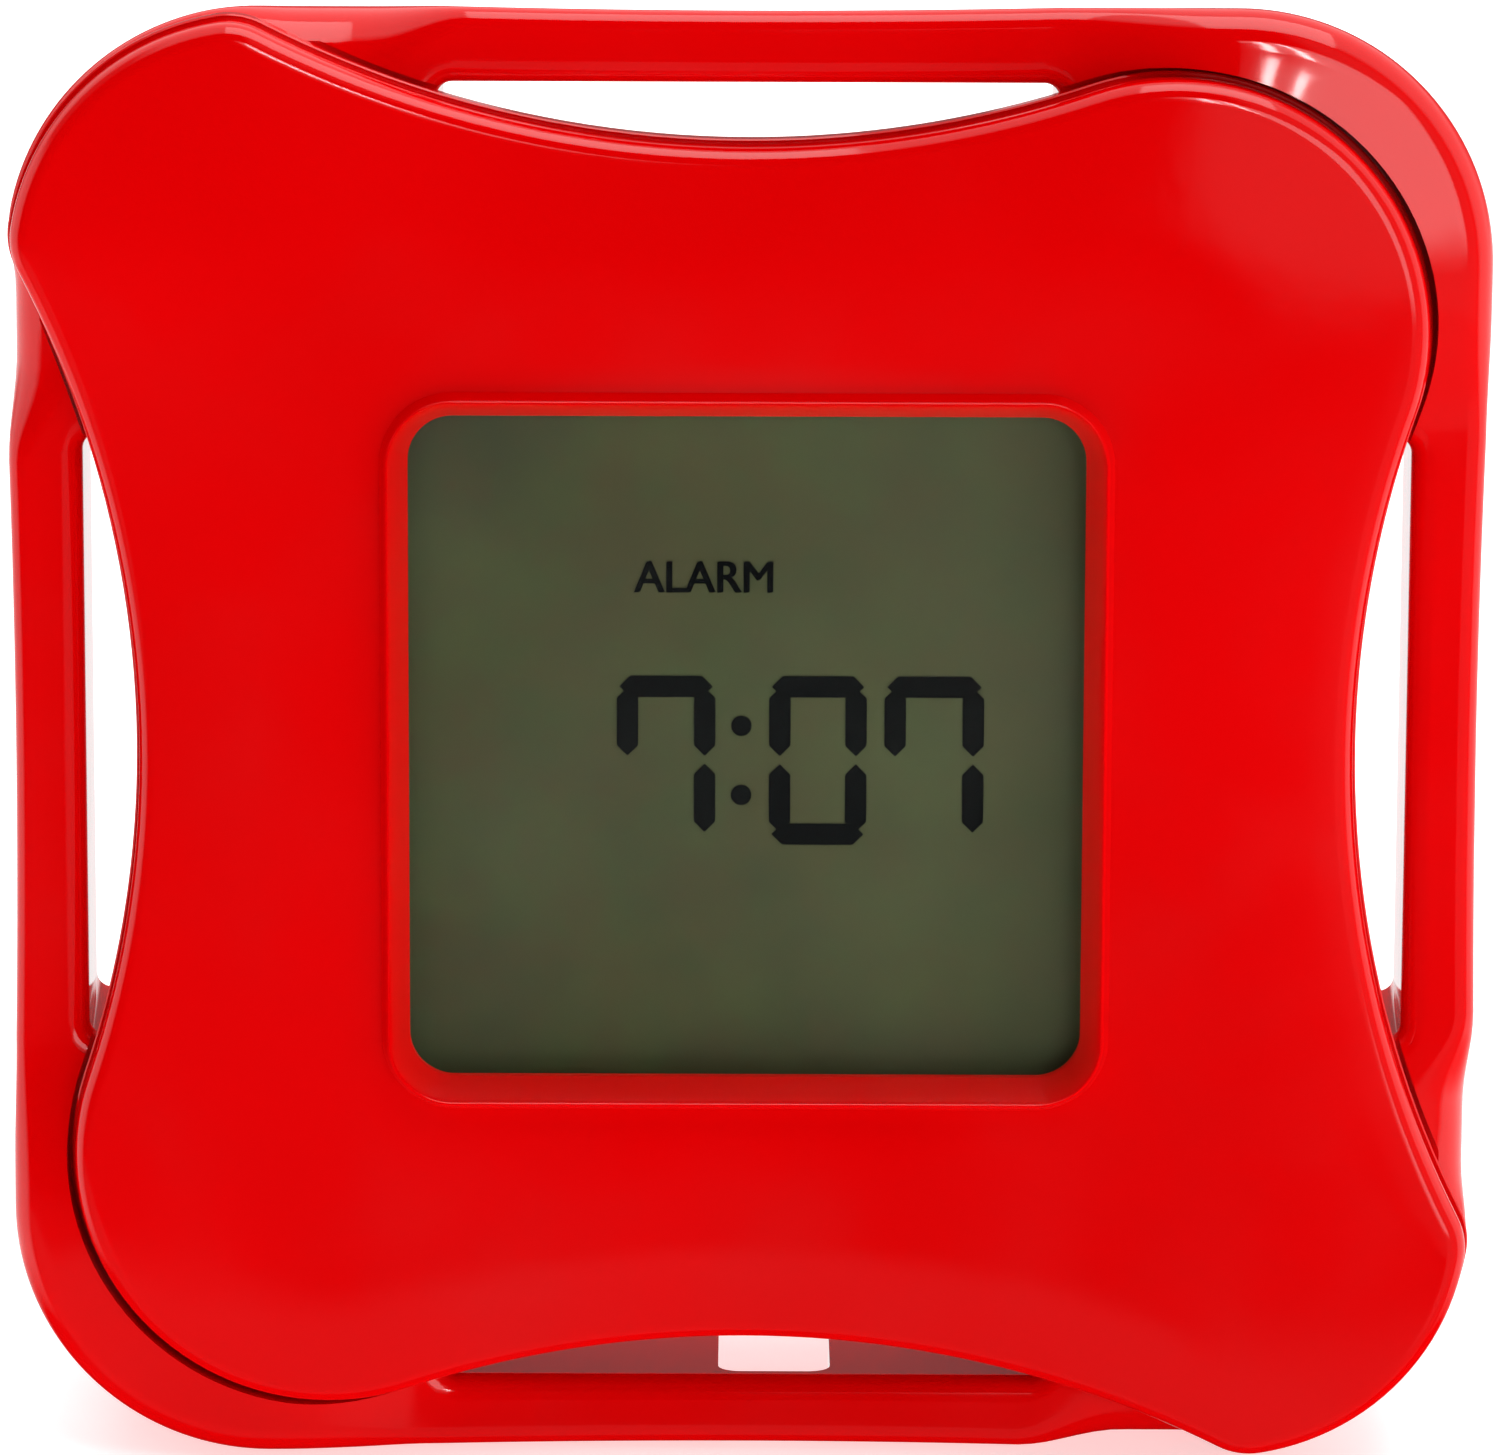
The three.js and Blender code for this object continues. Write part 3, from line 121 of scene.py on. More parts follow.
def half_corner(centre, radius, tip, offset):
    """From the middle of the cover's right side to the diagonal: an arch, a small tip or none, a corner."""
    arch_centre = Vector((COVER_APEX_HALF + COVER_ARCH, 0))
    centre = Vector((centre, centre))
    radius += offset
    arch = COVER_ARCH - offset
    apex = Vector((COVER_APEX_HALF + offset, 0))
    diagonal = centre + radius * Vector((1, 1)).normalized()
    if not tip:
        meet = arch_centre + arch * (centre - arch_centre).normalized()
        round_part = arc(centre, meet, diagonal, TIP_STEPS + CORNER_STEPS)
        return [*arc(arch_centre, apex, meet, SIDE_STEPS), *round_part, diagonal]
    tip += offset
    tip_centre = circles_meet(centre, radius - tip, arch_centre, arch + tip)
    on_arch = arch_centre + arch * (tip_centre - arch_centre).normalized()
    on_corner = centre + radius * (tip_centre - centre).normalized()
    return [
        *arc(arch_centre, apex, on_arch, SIDE_STEPS),
        *arc(tip_centre, on_arch, on_corner, TIP_STEPS),
        *arc(centre, on_corner, diagonal, CORNER_STEPS),
        diagonal,
    ]


def whole(halves):
    """Mirrors each half corner, and lays the four corners anticlockwise from the upper right."""
    points = []
    for quarter, half in enumerate(halves):
        corner = half + [p.yx for p in half[-2:0:-1]]
        turn = Matrix.Rotation(quarter * pi / 2, 2)
        points += [turn @ p for p in corner]
    return points


def square_half(half, radius, sides=SIDE_STEPS):
    centre = Vector((half - radius, half - radius))
    meet = Vector((half, half - radius))
    diagonal = centre + radius * Vector((1, 1)).normalized()
    corner = arc(centre, meet, diagonal, TIP_STEPS + CORNER_STEPS)
    return [*line(Vector((half, 0)), meet, sides), *corner, diagonal]


def square_outline(half, radius, sides=SIDE_STEPS):
    return whole([square_half(half, radius, sides)] * 4)


def cover_outline(offset):
    rise = SHORT_HORN_REACH - COVER_APEX_HALF
    spread = rise * (SHORT_HORN_REACH + COVER_APEX_HALF + 2 * COVER_ARCH)
    short_centre = sqrt(rise**2 + spread) - rise
    short = half_corner(short_centre, SHORT_HORN_REACH - short_centre, 0, offset)
    long = half_corner(CASE_HALF - CASE_CORNER, CASE_CORNER - 2 * FLANGE_MARGIN, LONG_HORN_TIP, offset)
    return whole([short, long, short, long])


BLEND_STEPS = 10


def ring_outline(offset):
    """The ring's outline: each side hollow in the middle, with a flat foot before each corner."""
    centre = Vector((CASE_HALF - CASE_CORNER,) * 2)
    side = CASE_HALF + offset
    places = [BLEND_START * i / SIDE_STEPS for i in range(SIDE_STEPS)]
    places += [BLEND_START + (BLEND_END - BLEND_START) * i / BLEND_STEPS for i in range(BLEND_STEPS + 1)]
    hollow = [Vector((side - SIDE_HOLLOW * max(0, 1 - (z / BLEND_START) ** 2), z)) for z in places]
    meet = Vector((side, centre.y))
    diagonal = centre + (CASE_CORNER + offset) * Vector((1, 1)).normalized()
    return whole([[*hollow, *arc(centre, meet, diagonal, TIP_STEPS + CORNER_STEPS), diagonal]] * 4)


def spots(section):
    outline, depth = section
    depths = depth if isinstance(depth, list) else [depth] * len(outline)
    return [Vector((p.x, d, p.y)) for p, d in zip(outline, depths)]


def loft(sections, looped=False):
    """Extrudes a ring of vertices from section to section, each an outline and its depth or depths."""
    bm = bmesh.new()
    ring = [bm.verts.new(spot) for spot in spots(sections[0])]
    first = edges = [bm.edges.new(pair) for pair in zip(ring, ring[1:] + ring[:1])]
    for section in sections[1:] + sections[:1] * looped:
        grown = bmesh.ops.extrude_edge_only(bm, edges=edges)["geom"]
        fresh = {v for v in grown if isinstance(v, bmesh.types.BMVert)}
        edges = [e for e in grown if isinstance(e, bmesh.types.BMEdge) and fresh.issuperset(e.verts)]
        ring = [next(e.other_vert(v) for e in v.link_edges if e.other_vert(v) in fresh) for v in ring]
        for v, spot in zip(ring, spots(section)):
            v.co = spot
    if looped:
        bmesh.ops.remove_doubles(bm, verts=bm.verts, dist=1e-5)
    else:
        bmesh.ops.contextual_create(bm, geom=first)
        bmesh.ops.contextual_create(bm, geom=edges)
    bmesh.ops.recalc_face_normals(bm, faces=bm.faces)
    return bm


def box_outline(width, height, radius, x=0, z=0, steps=8):
    """A rounded rectangle about (x, z)."""
    radius = min(radius, width / 2 - 1e-3, height / 2 - 1e-3)
    w, h = width / 2 - radius, height / 2 - radius
    points = []
    for quarter, (sx, sz) in enumerate([(1, 1), (-1, 1), (-1, -1), (1, -1)]):
        turns = [(quarter + i / steps) * pi / 2 for i in range(steps + 1)]
        points += [Vector((x + sx * w + radius * cos(t), z + sz * h + radius * sin(t))) for t in turns]
    return points


def slab(width, height, radius, front, back, x=0, z=0, edge=0, flare=0, steps=8):
    """A rounded block along the clock's depth, with a rounded back edge or a flared back end."""
    def size(grow, depth):
        return box_outline(width + 2 * grow, height + 2 * grow, radius + grow, x, z, steps), depth
    sections = [size(0, front)]
    turns = [i * pi / 12 for i in range(7)]
    if edge:
        sections += [size(edge * (cos(t) - 1), back - edge + edge * sin(t)) for t in turns]
    elif flare:
        sections += [size(flare * (1 - cos(t)), back - flare + flare * sin(t)) for t in turns]
        sections.append(size(flare, back + flare))
    else:
        sections.append(size(0, back))
    return loft(sections)


def bar(radius, front, back, x=0, z=0, sides=48, flare=0):
    """A round bar along the clock's depth, perhaps with a flared back end."""
    def ring(grow, depth):
        turns = [2 * pi * i / sides for i in range(sides)]
        return [Vector((x + (radius + grow) * cos(t), z + (radius + grow) * sin(t))) for t in turns], depth
    sections = [ring(0, front)]
    if flare:
        turns = [i * pi / 12 for i in range(7)]
        sections += [ring(flare * (1 - cos(t)), back - flare + flare * sin(t)) for t in turns]
        sections.append(ring(flare, back + flare))
    else:
        sections.append(ring(0, back))
    return loft(sections)


def turned(profile, sides=48):
    """A piece turned about the z axis; its profile is pairs of radius and height."""
    bm = bmesh.new()
    points = [bm.verts.new((r, 0, h)) for r, h in profile]
    edges = [bm.edges.new(pair) for pair in zip(points, points[1:])]
    bmesh.ops.spin(
        bm, geom=points + edges, cent=(0, 0, 0), axis=(0, 0, 1), angle=2 * pi, steps=sides, use_merge=True
    )
    bmesh.ops.remove_doubles(bm, verts=bm.verts, dist=1e-5)
    bmesh.ops.recalc_face_normals(bm, faces=bm.faces)
    return bm


def moved(bm, *transforms):
    for matrix in transforms:
        bmesh.ops.transform(bm, matrix=matrix, verts=bm.verts)
    return bm


def bare(bm):
    mesh = bpy.data.meshes.new("work")
    bm.to_mesh(mesh)
    bm.free()
    thing = bpy.data.objects.new("work", mesh)
    scene.collection.objects.link(thing)
    return thing


def worked(operation, body, tools):
    """Joins the tools to the body or cuts them out of it."""
    blank = bare(body)
    helpers = [bare(tool) for tool in tools]
    for helper in helpers:
        step = blank.modifiers.new("step", "BOOLEAN")
        step.operation, step.solver, step.object = operation, "MANIFOLD", helper
    bpy.context.view_layer.update()
    shaped = blank.evaluated_get(bpy.context.evaluated_depsgraph_get())
    result = bmesh.new()
    result.from_mesh(shaped.to_mesh())
    shaped.to_mesh_clear()
    for thing in [blank, *helpers]:
        mesh = thing.data
        bpy.data.objects.remove(thing)
        bpy.data.meshes.remove(mesh)
    bmesh.ops.dissolve_degenerate(result, edges=result.edges, dist=1e-4)
    return result


def cut(body, *tools):
    return worked("DIFFERENCE", body, tools)


def joined(body, *tools):
    return worked("UNION", body, tools)


def piece(name, bm, look, slot, body, *nodes, crease=32):
    """Puts a finished mesh in its place on the leaning clock."""
    moved(bm, CLOCK)
    mesh = bpy.data.meshes.new(name)
    bm.to_mesh(mesh)
    bm.free()
    mesh.materials.append(look.material)
    mesh.shade_smooth()
    mesh.set_sharp_from_angle(angle=radians(crease))
    thing = bpy.data.objects.new(name, mesh)
    scene.collection.objects.link(thing)
    evened = thing.modifiers.new("evened", "WEIGHTED_NORMAL")
    evened.keep_sharp = True
    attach(thing, body)
    if nodes:
        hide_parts(*nodes)
    return thing


def smooth(value, low, high):
    t = min(1, max(0, (value - low) / (high - low)))
    return t * t * (3 - 2 * t)


def mixed(shares, low, high):
    return [low + (high - low) * s for s in shares]


class Socket:
    """A node's output; arithmetic on it adds Math nodes."""

    def __init__(self, look, output):
        self.look, self.output = look, output

    def __add__(self, other):
        return self.look.math("ADD", self, other)

    def __sub__(self, other):
        return self.look.math("SUBTRACT", self, other)

    def __rsub__(self, other):
        return self.look.math("SUBTRACT", other, self)

    def __mul__(self, other):
        return self.look.math("MULTIPLY", self, other)

    __radd__, __rmul__ = __add__, __mul__


class Nodes:
    """A tree of shader nodes."""

    def __init__(self, tree):
        self.tree = tree

    def node(self, kind, settings=None, inputs=None, output=0):
        made = self.tree.nodes.new("ShaderNode" + kind)
        for key, value in (settings or {}).items():
            setattr(made, key, value)
        for key, value in (inputs or {}).items():
            self.put(made.inputs[key], value)
        return Socket(self, made.outputs[output])

    def math(self, operation, *values):
        return self.node("Math", {"operation": operation}, dict(enumerate(values)))

    def put(self, socket, value):
        if isinstance(value, Socket):
            self.tree.links.new(value.output, socket)
        else:
            socket.default_value = value

    def noise(self, scale, detail=3, roughness=0.5):
        """Soft noise from 0 to 1; scale is lumps per metre."""
        values = {"Vector": self.place, "Scale": scale, "Detail": detail, "Roughness": roughness}
        return self.node("TexNoise", None, values)

    def range(self, value, low, high, to_low=0.0, to_high=1.0):
        values = {"Value": value, "From Min": low, "From Max": high, "To Min": to_low, "To Max": to_high}
        return self.node("MapRange", {"clamp": True}, values)

    def blend(self, share, first, second):
        inputs = {0: share, 6: first, 7: second}
        return self.node("Mix", {"data_type": "RGBA"}, inputs, 2)


class Look(Nodes):
    """A material with one principled shader, and the nodes that feed it."""

    def __init__(self, name, **values):
        self.material = bpy.data.materials.new(name)
        self.material.use_nodes = True
        super().__init__(self.material.node_tree)
        self.shader = self.tree.nodes["Principled BSDF"]
        self.place = self.node("TexCoord", output="Object")
        self.set(**values)

    def set(self, **values):
        for key, value in values.items():
            self.put(self.shader.inputs[key.replace("_", " ").title().replace("Ior", "IOR")], value)

    def bump(self, height, strength, distance):
        inputs = {"Height": height, "Strength": strength, "Distance": distance}
        self.set(Normal=self.node("Bump", None, inputs))


def rgb(code):
    """The linear colour of a six-digit web colour."""
    parts = [int(code[i : i + 2], 16) / 255 for i in (0, 2, 4)]
    return (*[c / 12.92 if c < 0.04045 else ((c + 0.055) / 1.055) ** 2.4 for c in parts], 1)


def glossy_plastic(name, color, dark, roughness):
    look = Look(name, Specular_Ior_Level=0.5)
    cloud = look.noise(28, 2)
    look.set(Base_Color=look.blend(look.range(cloud, 0.35, 0.65), color, dark))
    smear = look.noise(90, 4, 0.6)
    look.set(Roughness=look.range(smear, 0.4, 0.75, roughness, roughness + 0.05))
    look.bump(look.noise(420, 2), 0.012, 0.0004)
    return look


def darker(color, share):
    return (*[share * c for c in color[:3]], 1)


def moulded(name, color, roughness):
    look = Look(name)
    look.set(Base_Color=look.blend(look.noise(60, 3), color, darker(color, 0.82)))
    look.set(Roughness=look.range(look.noise(300, 4), 0.3, 0.7, roughness - 0.06, roughness + 0.06))
    look.bump(look.noise(2500, 4), 0.15, 0.0002)
    return look


def metal(name, color, roughness):
    look = Look(name, Metallic=1.0)
    cloud = look.noise(200, 4)
    look.set(Base_Color=look.blend(look.range(cloud, 0.3, 0.8), color, darker(color, 0.75)))
    look.set(Roughness=look.range(look.noise(900, 3), 0.3, 0.7, roughness - 0.07, roughness + 0.1))
    look.bump(look.noise(3000, 3), 0.06, 0.0001)
    return look


red_gloss = glossy_plastic("red_gloss_plastic", rgb("e90003"), rgb("e00002"), 0.05)
button_red = glossy_plastic("red_button_plastic", rgb("c00812"), rgb("a8060f"), 0.2)
black_resin = moulded("black_resin", rgb("17181a"), 0.42)
pale_resin = moulded("pale_resin", rgb("e4e2da"), 0.5)
connector_rubber = moulded("pink_silicone_rubber", rgb("c98f93"), 0.7)
board_green = moulded("green_solder_mask", rgb("1f5a30"), 0.35)
ceramic = moulded("white_ceramic", rgb("e9e6dc"), 0.6)
foil = metal("brushed_foil", rgb("c9ccc4"), 0.35)
steel = metal("zinc_plated_steel", rgb("b4b7ba"), 0.3)
nickel = metal("nickel_plate", rgb("cdc9bf"), 0.28)
brass = metal("brass_sheet", rgb("c7a14a"), 0.35)
wrap = glossy_plastic("cell_sleeve", rgb("3a4653"), rgb("2c3744"), 0.25)
red_wire = moulded("red_wire_sleeve", rgb("a81a1a"), 0.45)
black_wire = moulded("black_wire_sleeve", rgb("1c1c1e"), 0.45)


def window_look():
    """Clear moulded plastic with a faint, uneven haze."""
    look = Look("clear_window", Base_Color=rgb("c9cfc6"), Specular_Ior_Level=0.4)
    haze = look.range(look.noise(45, 3), 0.35, 0.7, 0.002, 0.012)
    look.set(Alpha=haze, Roughness=look.range(look.noise(200, 3), 0.3, 0.7, 0.04, 0.1))
    return look


def panel_look():
    """Grey-green liquid crystal panel: soft clouds, a painted highlight that makes it paler to the right
    where the light falls, and a fine grain.
    """
    look = Look("reflective_panel", Specular_Ior_Level=0.15)
    cloud = look.noise(70, 5, 0.6)
    patch = look.range(look.noise(160, 4, 0.6), 0.4, 0.62)
    base = look.blend(look.range(cloud, 0.35, 0.65), rgb("3a4228"), rgb("48532f"))
    base = look.blend(patch * 0.5, base, rgb("4c4229"))
    across = look.node("SeparateXYZ", None, {"Vector": look.place}, "X")
    # Painted light: the colour is blended towards a paler green to the right, standing in for the light
    # from that side.
    base = look.blend(look.range(across, -0.022, 0.018) * 0.35, base, rgb("5e6844"))
    look.set(Base_Color=base, Roughness=look.range(cloud, 0.3, 0.7, 0.38, 0.5))
    look.bump(look.noise(5000, 2), 0.05, 0.0001)
    return look


window_clear = window_look()
panel = panel_look()
segment_dark = moulded("dark_segments", rgb("04070a"), 0.6)
segment_dark.set(Specular_Ior_Level=0.03)


def round_window(offset):
    return square_outline(WINDOW_HALF + offset, WINDOW_CORNER + offset)


def quarter_round(steps):
    return [i * pi / 2 / steps for i in range(steps + 1)]


def at_quadrants(offset):
    return [(sx * offset, sz * offset) for sx, sz in QUADRANTS]


def front_cover():
    """One loft round the window: lip, bevel, ridge, dome, rounded edge, rim and hollow underside."""
    foot_out = BEVEL_WIDTH + RIDGE_TOP + RIDGE_WALL
    sections = [(round_window(2.45), 2.3), (round_window(2.45), 0.8), (round_window(0), 0.8)]
    sections += [(round_window(0), 0.15), (round_window(0.04), 0.03), (round_window(0.15), -0.2)]
    sections += [(round_window(BEVEL_WIDTH * s), -RIDGE_RISE * s) for s in (0.35, 0.6, 0.85)]
    top = [(BEVEL_WIDTH, -RIDGE_RISE + 0.12), (BEVEL_WIDTH + 0.08, -RIDGE_RISE + 0.02)]
    top += [(BEVEL_WIDTH + 0.17, -RIDGE_RISE + 0.02), (BEVEL_WIDTH + RIDGE_TOP, -RIDGE_RISE + 0.12)]
    top += [(BEVEL_WIDTH + RIDGE_TOP + 0.1, -RIDGE_RISE + 0.4), (foot_out - 0.12, -PLATE_RISE - 0.25)]
    sections += [(round_window(out), depth) for out, depth in top]
    foot = round_window(foot_out)
    edge = cover_outline(-COVER_EDGE_ROUND)

    def dome(share):
        outline = [e.lerp(f, share) for e, f in zip(edge, foot)]
        straight = COVER_EDGE - (COVER_EDGE + PLATE_RISE) * share
        return outline, straight - DOME_SWELL * 4 * share * (1 - share)

    sections += [dome(1 - i / 14) for i in range(15)]
    for t in quarter_round(7)[1:]:
        outline = cover_outline(-COVER_EDGE_ROUND * (1 - sin(t)))
        sections.append((outline, COVER_EDGE + COVER_EDGE_ROUND * (1 - cos(t))))
    sections += [(cover_outline(0), COVER_RIM - 0.15), (cover_outline(-0.15), COVER_RIM)]
    sections += [(cover_outline(-2), COVER_RIM), (cover_outline(-2), COVER_EDGE + 1.9)]
    sections += [(round_window(3.95), 0.85), (round_window(3.95), 2.3)]
    shell = loft(sections, looped=True)
    places = at_quadrants(SCREW_OFFSET)
    shell = joined(shell, *[bar(2.2, -0.2, 10, x, z) for x, z in places])
    return cut(shell, *[bar(1.5, 3.2, 12, x, z, 24) for x, z in places])


def ring_frame():
    """Bars, corner pads and blocks in one loft, with the cover's recess, side slots and hollows cut out."""
    base = ring_outline(0)
    blocks = [smooth(min(abs(p.x), abs(p.y)), BLEND_START, BLEND_END) for p in base]
    pads = [s if p.x * p.y > 0 else 0 for s, p in zip(blocks, base)]
    stride = 0.3
    within = ring_outline(-stride)

    def inset(amounts):
        return [p.lerp(q, a / stride) for p, q, a in zip(base, within, amounts)]

    cap = square_outline(20, 1, SIDE_STEPS + BLEND_STEPS)
    lows = [min(abs(p.x), abs(p.y)) if p.x * p.y < 0 else 0 for p in base]
    shoulders = [smooth(m, *SHOULDER_RISE) * (1 - smooth(m, *SHOULDER_FALL)) for m in lows]
    fronts = mixed(pads, BAR_FRONT, PAD_FRONT + PAD_SLOPE)
    rounds = [r + SHOULDER_ROUND * s for r, s in zip(mixed(pads, BAR_ROUND, PAD_ROUND), shoulders)]
    bands = mixed(pads, BAR_FRONT, PAD_FRONT)
    sections = [(cap, BAR_FRONT), (ring_outline(-BAND_WIDTH), bands)]
    for share in (0.35, 0.7):
        outline = inset([BAND_WIDTH + (r - BAND_WIDTH) * share for r in rounds])
        sections.append((outline, [b + (f - b) * share for b, f in zip(bands, fronts)]))
    for t in quarter_round(9):
        depths = [f + r * (1 - cos(t)) for f, r in zip(fronts, rounds)]
        tapers = [SIDE_TAPER * max(0, d - WIDEST_DEPTH) for d in depths]
        sections.append((inset([r * (1 - sin(t)) + k for r, k in zip(rounds, tapers)]), depths))
    backs = mixed(blocks, BAR_BACK, BLOCK_BACK)
    for t in quarter_round(6):
        depths = [b - BACK_ROUND * (1 - sin(t)) for b in backs]
        insets = [SIDE_TAPER * (d - WIDEST_DEPTH) + BACK_ROUND * (1 - cos(t)) for d in depths]
        sections.append((inset(insets), depths))
    sections += [(ring_outline(-8.5), backs), (cap, BAR_BACK)]
    blank = loft(sections)

    recess = loft([(cover_outline(0.6), PAD_FRONT - 2), (cover_outline(0.6), FLANGE_BACK + 0.3)])
    hole = housing_plug(0.3, PAD_FRONT, BLOCK_BACK + 2)
    tools = [recess, hole]
    for quarter in range(4):
        turn = Matrix.Rotation(-quarter * pi / 2, 4, "Y")
        tools += [moved(side_slot(), turn), moved(block_core(), turn)]
    strap = slab(7.4, 14.7, 1.5, -2, 8)
    tools.append(moved(strap, Matrix.Rotation(pi / 2, 4, "X"), Matrix.Translation((2, 11.65, -48))))
    for x, z in at_quadrants(SCREW_OFFSET):
        tools += [bar(2.5, 1.7, 10.3, x, z), bar(1.5, 1.7, 23, x, z)]
        tools.append(bar(2.7, 12.7, 23, x, z, flare=0.3))
    return cut(blank, *tools)


def side_slot():
    """The room between the top bar and the housing, with a rounded front edge; it opens backwards."""
    def outline(grow, draft=0):
        reach = BAR_INNER_HALF + grow + draft
        return box_outline(2 * (SLOT_HALF_LENGTH + grow), reach - 20, 1 + grow, 0, (reach + 20) / 2)
    back = BLOCK_BACK + 2
    sections = [(outline(SLOT_ROUND), PAD_FRONT - 2)]
    for t in quarter_round(6):
        sections.append((outline(SLOT_ROUND * (1 - sin(t))), BAR_FRONT + SLOT_ROUND * (1 - cos(t))))
    sections.append((outline(0, SLOT_DRAFT * (back - BAR_FRONT)), back))
    return loft(sections)


def housing_outline(depth, offset=0):
    half = HOUSING_HALF - HOUSING_TAPER * (depth - FLANGE_BACK) + offset
    return square_outline(half, HOUSING_CORNER - (HOUSING_HALF - half))


def housing_plug(offset, front, back):
    return loft([(housing_outline(front, offset), front), (housing_outline(back, offset), back)])


def block_core():
    """The hollow in the back of one corner block, round the screw's tube, with a rib to the outer wall."""
    front, back = FLANGE_BACK + 2.3, BLOCK_BACK + 2
    room = loft([(ring_outline(-2 - SIDE_TAPER * (d - WIDEST_DEPTH)), d) for d in (front, back)])
    room = worked("INTERSECT", room, [slab(26, 26, SHARP, front, back + 1, 35, 35)])
    tube = bar(4.7, front - 1, back + 1, SCREW_OFFSET, SCREW_OFFSET)
    rib = moved(slab(1.2, 140, SHARP, front - 1, back + 1), Matrix.Rotation(pi / 4, 4, "Y"))
    return cut(room, housing_plug(2.3, front - 1, back + 1), tube, rib)


def back_housing():
    """The tub with its flange, battery bay, sounder seat, bosses, button holes and sound holes."""
    edge = cover_outline(FLANGE_MARGIN)
    flange = [(cover_outline(FLANGE_MARGIN - 0.1), FLANGE_FRONT), (edge, FLANGE_FRONT + 0.1)]
    flange += [(edge, FLANGE_BACK), (housing_outline(FLANGE_BACK), FLANGE_BACK)]
    rounding = 1.6
    walls = []
    for t in quarter_round(7):
        depth = HOUSING_BACK - rounding * (1 - sin(t))
        walls.append((housing_outline(depth, -rounding * (1 - cos(t))), depth))
    shell = cut(loft(flange + walls), housing_plug(-HOUSING_WALL, FLANGE_FRONT - 2, FLOOR_FRONT))
    bay = slab(54.4, 25.3, 1.2, 15.3, 28.8, 0, BAY_MIDDLE)
    seat = cut(bar(9.6, 26.4, 28.8, *SOUND_HOLES), bar(8.4, 24, FLOOR_FRONT, *SOUND_HOLES))
    shell = joined(shell, bay, seat, *[bar(2, 10.9, 28.8, x, z) for x, z in at_quadrants(BOSS_OFFSET)])
    tools = [
        slab(52, 22.9, SHARP, 16.5, 32, 0, BAY_MIDDLE),
        slab(55.8, 26.7, 2.3, 28.1, HOUSING_BACK, 0, BAY_MIDDLE, flare=0.25),
        slab(9.6, 5, 0.3, 29, HOUSING_BACK, *KNOB_WINDOW, flare=0.2),
        slab(7, 2.8, SHARP, 25, 31, *KNOB_WINDOW),
    ]
    for x in BUTTONS.values():
        tools.append(slab(9.6, 5.6, 5, 25, HOUSING_BACK, x, BUTTON_HEIGHT, flare=0.25, steps=12))
    holes = [(0, 0)] + [(2.6 * cos(i * pi / 3), 2.6 * sin(i * pi / 3)) for i in range(6)]
    middle_x, middle_z = SOUND_HOLES
    tools += [bar(0.7, 25, HOUSING_BACK, middle_x + x, middle_z + z, 24, flare=0.2) for x, z in holes]
    for screw, boss in zip(at_quadrants(SCREW_OFFSET), at_quadrants(BOSS_OFFSET)):
        tools += [bar(2.5, 0, 5, *screw), bar(1.3, 8, 17, *boss, 24)]
    return cut(shell, *tools)


def battery_door():
    plate = slab(55.2, 26.1, 2, 28.4, HOUSING_BACK, 0, BAY_MIDDLE, edge=0.25)
    ribs = [slab(0.6, 22.3, SHARP, 27.8, 28.7, x, BAY_MIDDLE) for x in (-15.6, 0, 15.6)]
    grip = slab(12, 3, 3, 29.4, HOUSING_BACK, 0, -4.5, flare=0.3, steps=12)
    return cut(joined(plate, *ribs), grip)


def button(x):
    """A cap with the flange that keeps it in its hole, and the stem that presses its switch."""
    cap = slab(9, 5, 5, 26.8, 30.9, x, BUTTON_HEIGHT, edge=0.5, steps=12)
    stop = slab(10.8, 6.8, 5, 26.5, 27.3, x, BUTTON_HEIGHT, steps=12)
    stem = bar(1.4, 16.7, 27.6, x, BUTTON_HEIGHT, 32)
    return joined(cap, stop, stem)


def alarm_knob():
    """A ribbed knob with its neck, its flange, and the peg that moves the switch."""
    neck = slab(3.4, 2.2, SHARP, 26.3, 29.6, *KNOB)
    stop = slab(8.8, 4.4, 0.2, 26.3, 27.3, *KNOB)
    peg = slab(1.6, 1.6, SHARP, 12, 27.3, *KNOB)
    knob = joined(slab(6, 4.4, 0.4, 29.3, 30.6, *KNOB, edge=0.3), neck, stop, peg)
    x, z = KNOB
    return cut(knob, *[slab(0.5, 6.4, SHARP, 30.1, 32, x + i, z) for i in (-1, 0, 1)])


def case_screw(x, z):
    head = [(2.4, 0), (2.4, 0.9), (2.2, 1.25), (1.7, 1.6), (1, 1.77), (0, 1.8)]
    body = turned([(0, -9.5), (1.2, -8.3), (1.2, 0), *head])
    body = moved(body, Matrix.Rotation(-pi / 2, 4, "X"), Matrix.Translation((x, 13, z)))
    return cut(body, *[slab(*size, SHARP, 13.9, 16, x, z) for size in ((0.7, 2.8), (2.8, 0.7))])


def digit_segment(length, width, x, z, upright):
    """One bar of a digit, pointed at both ends."""
    half, w = length / 2, width / 2
    corners = [(-half, 0), (-half + w, -w), (half - w, -w), (half, 0), (half - w, w), (-half + w, w)]
    points = [Vector((b, a)) if upright else Vector((a, b)) for a, b in corners]
    if upright:
        points.reverse()
    return [Vector((x, z)) + p for p in points]


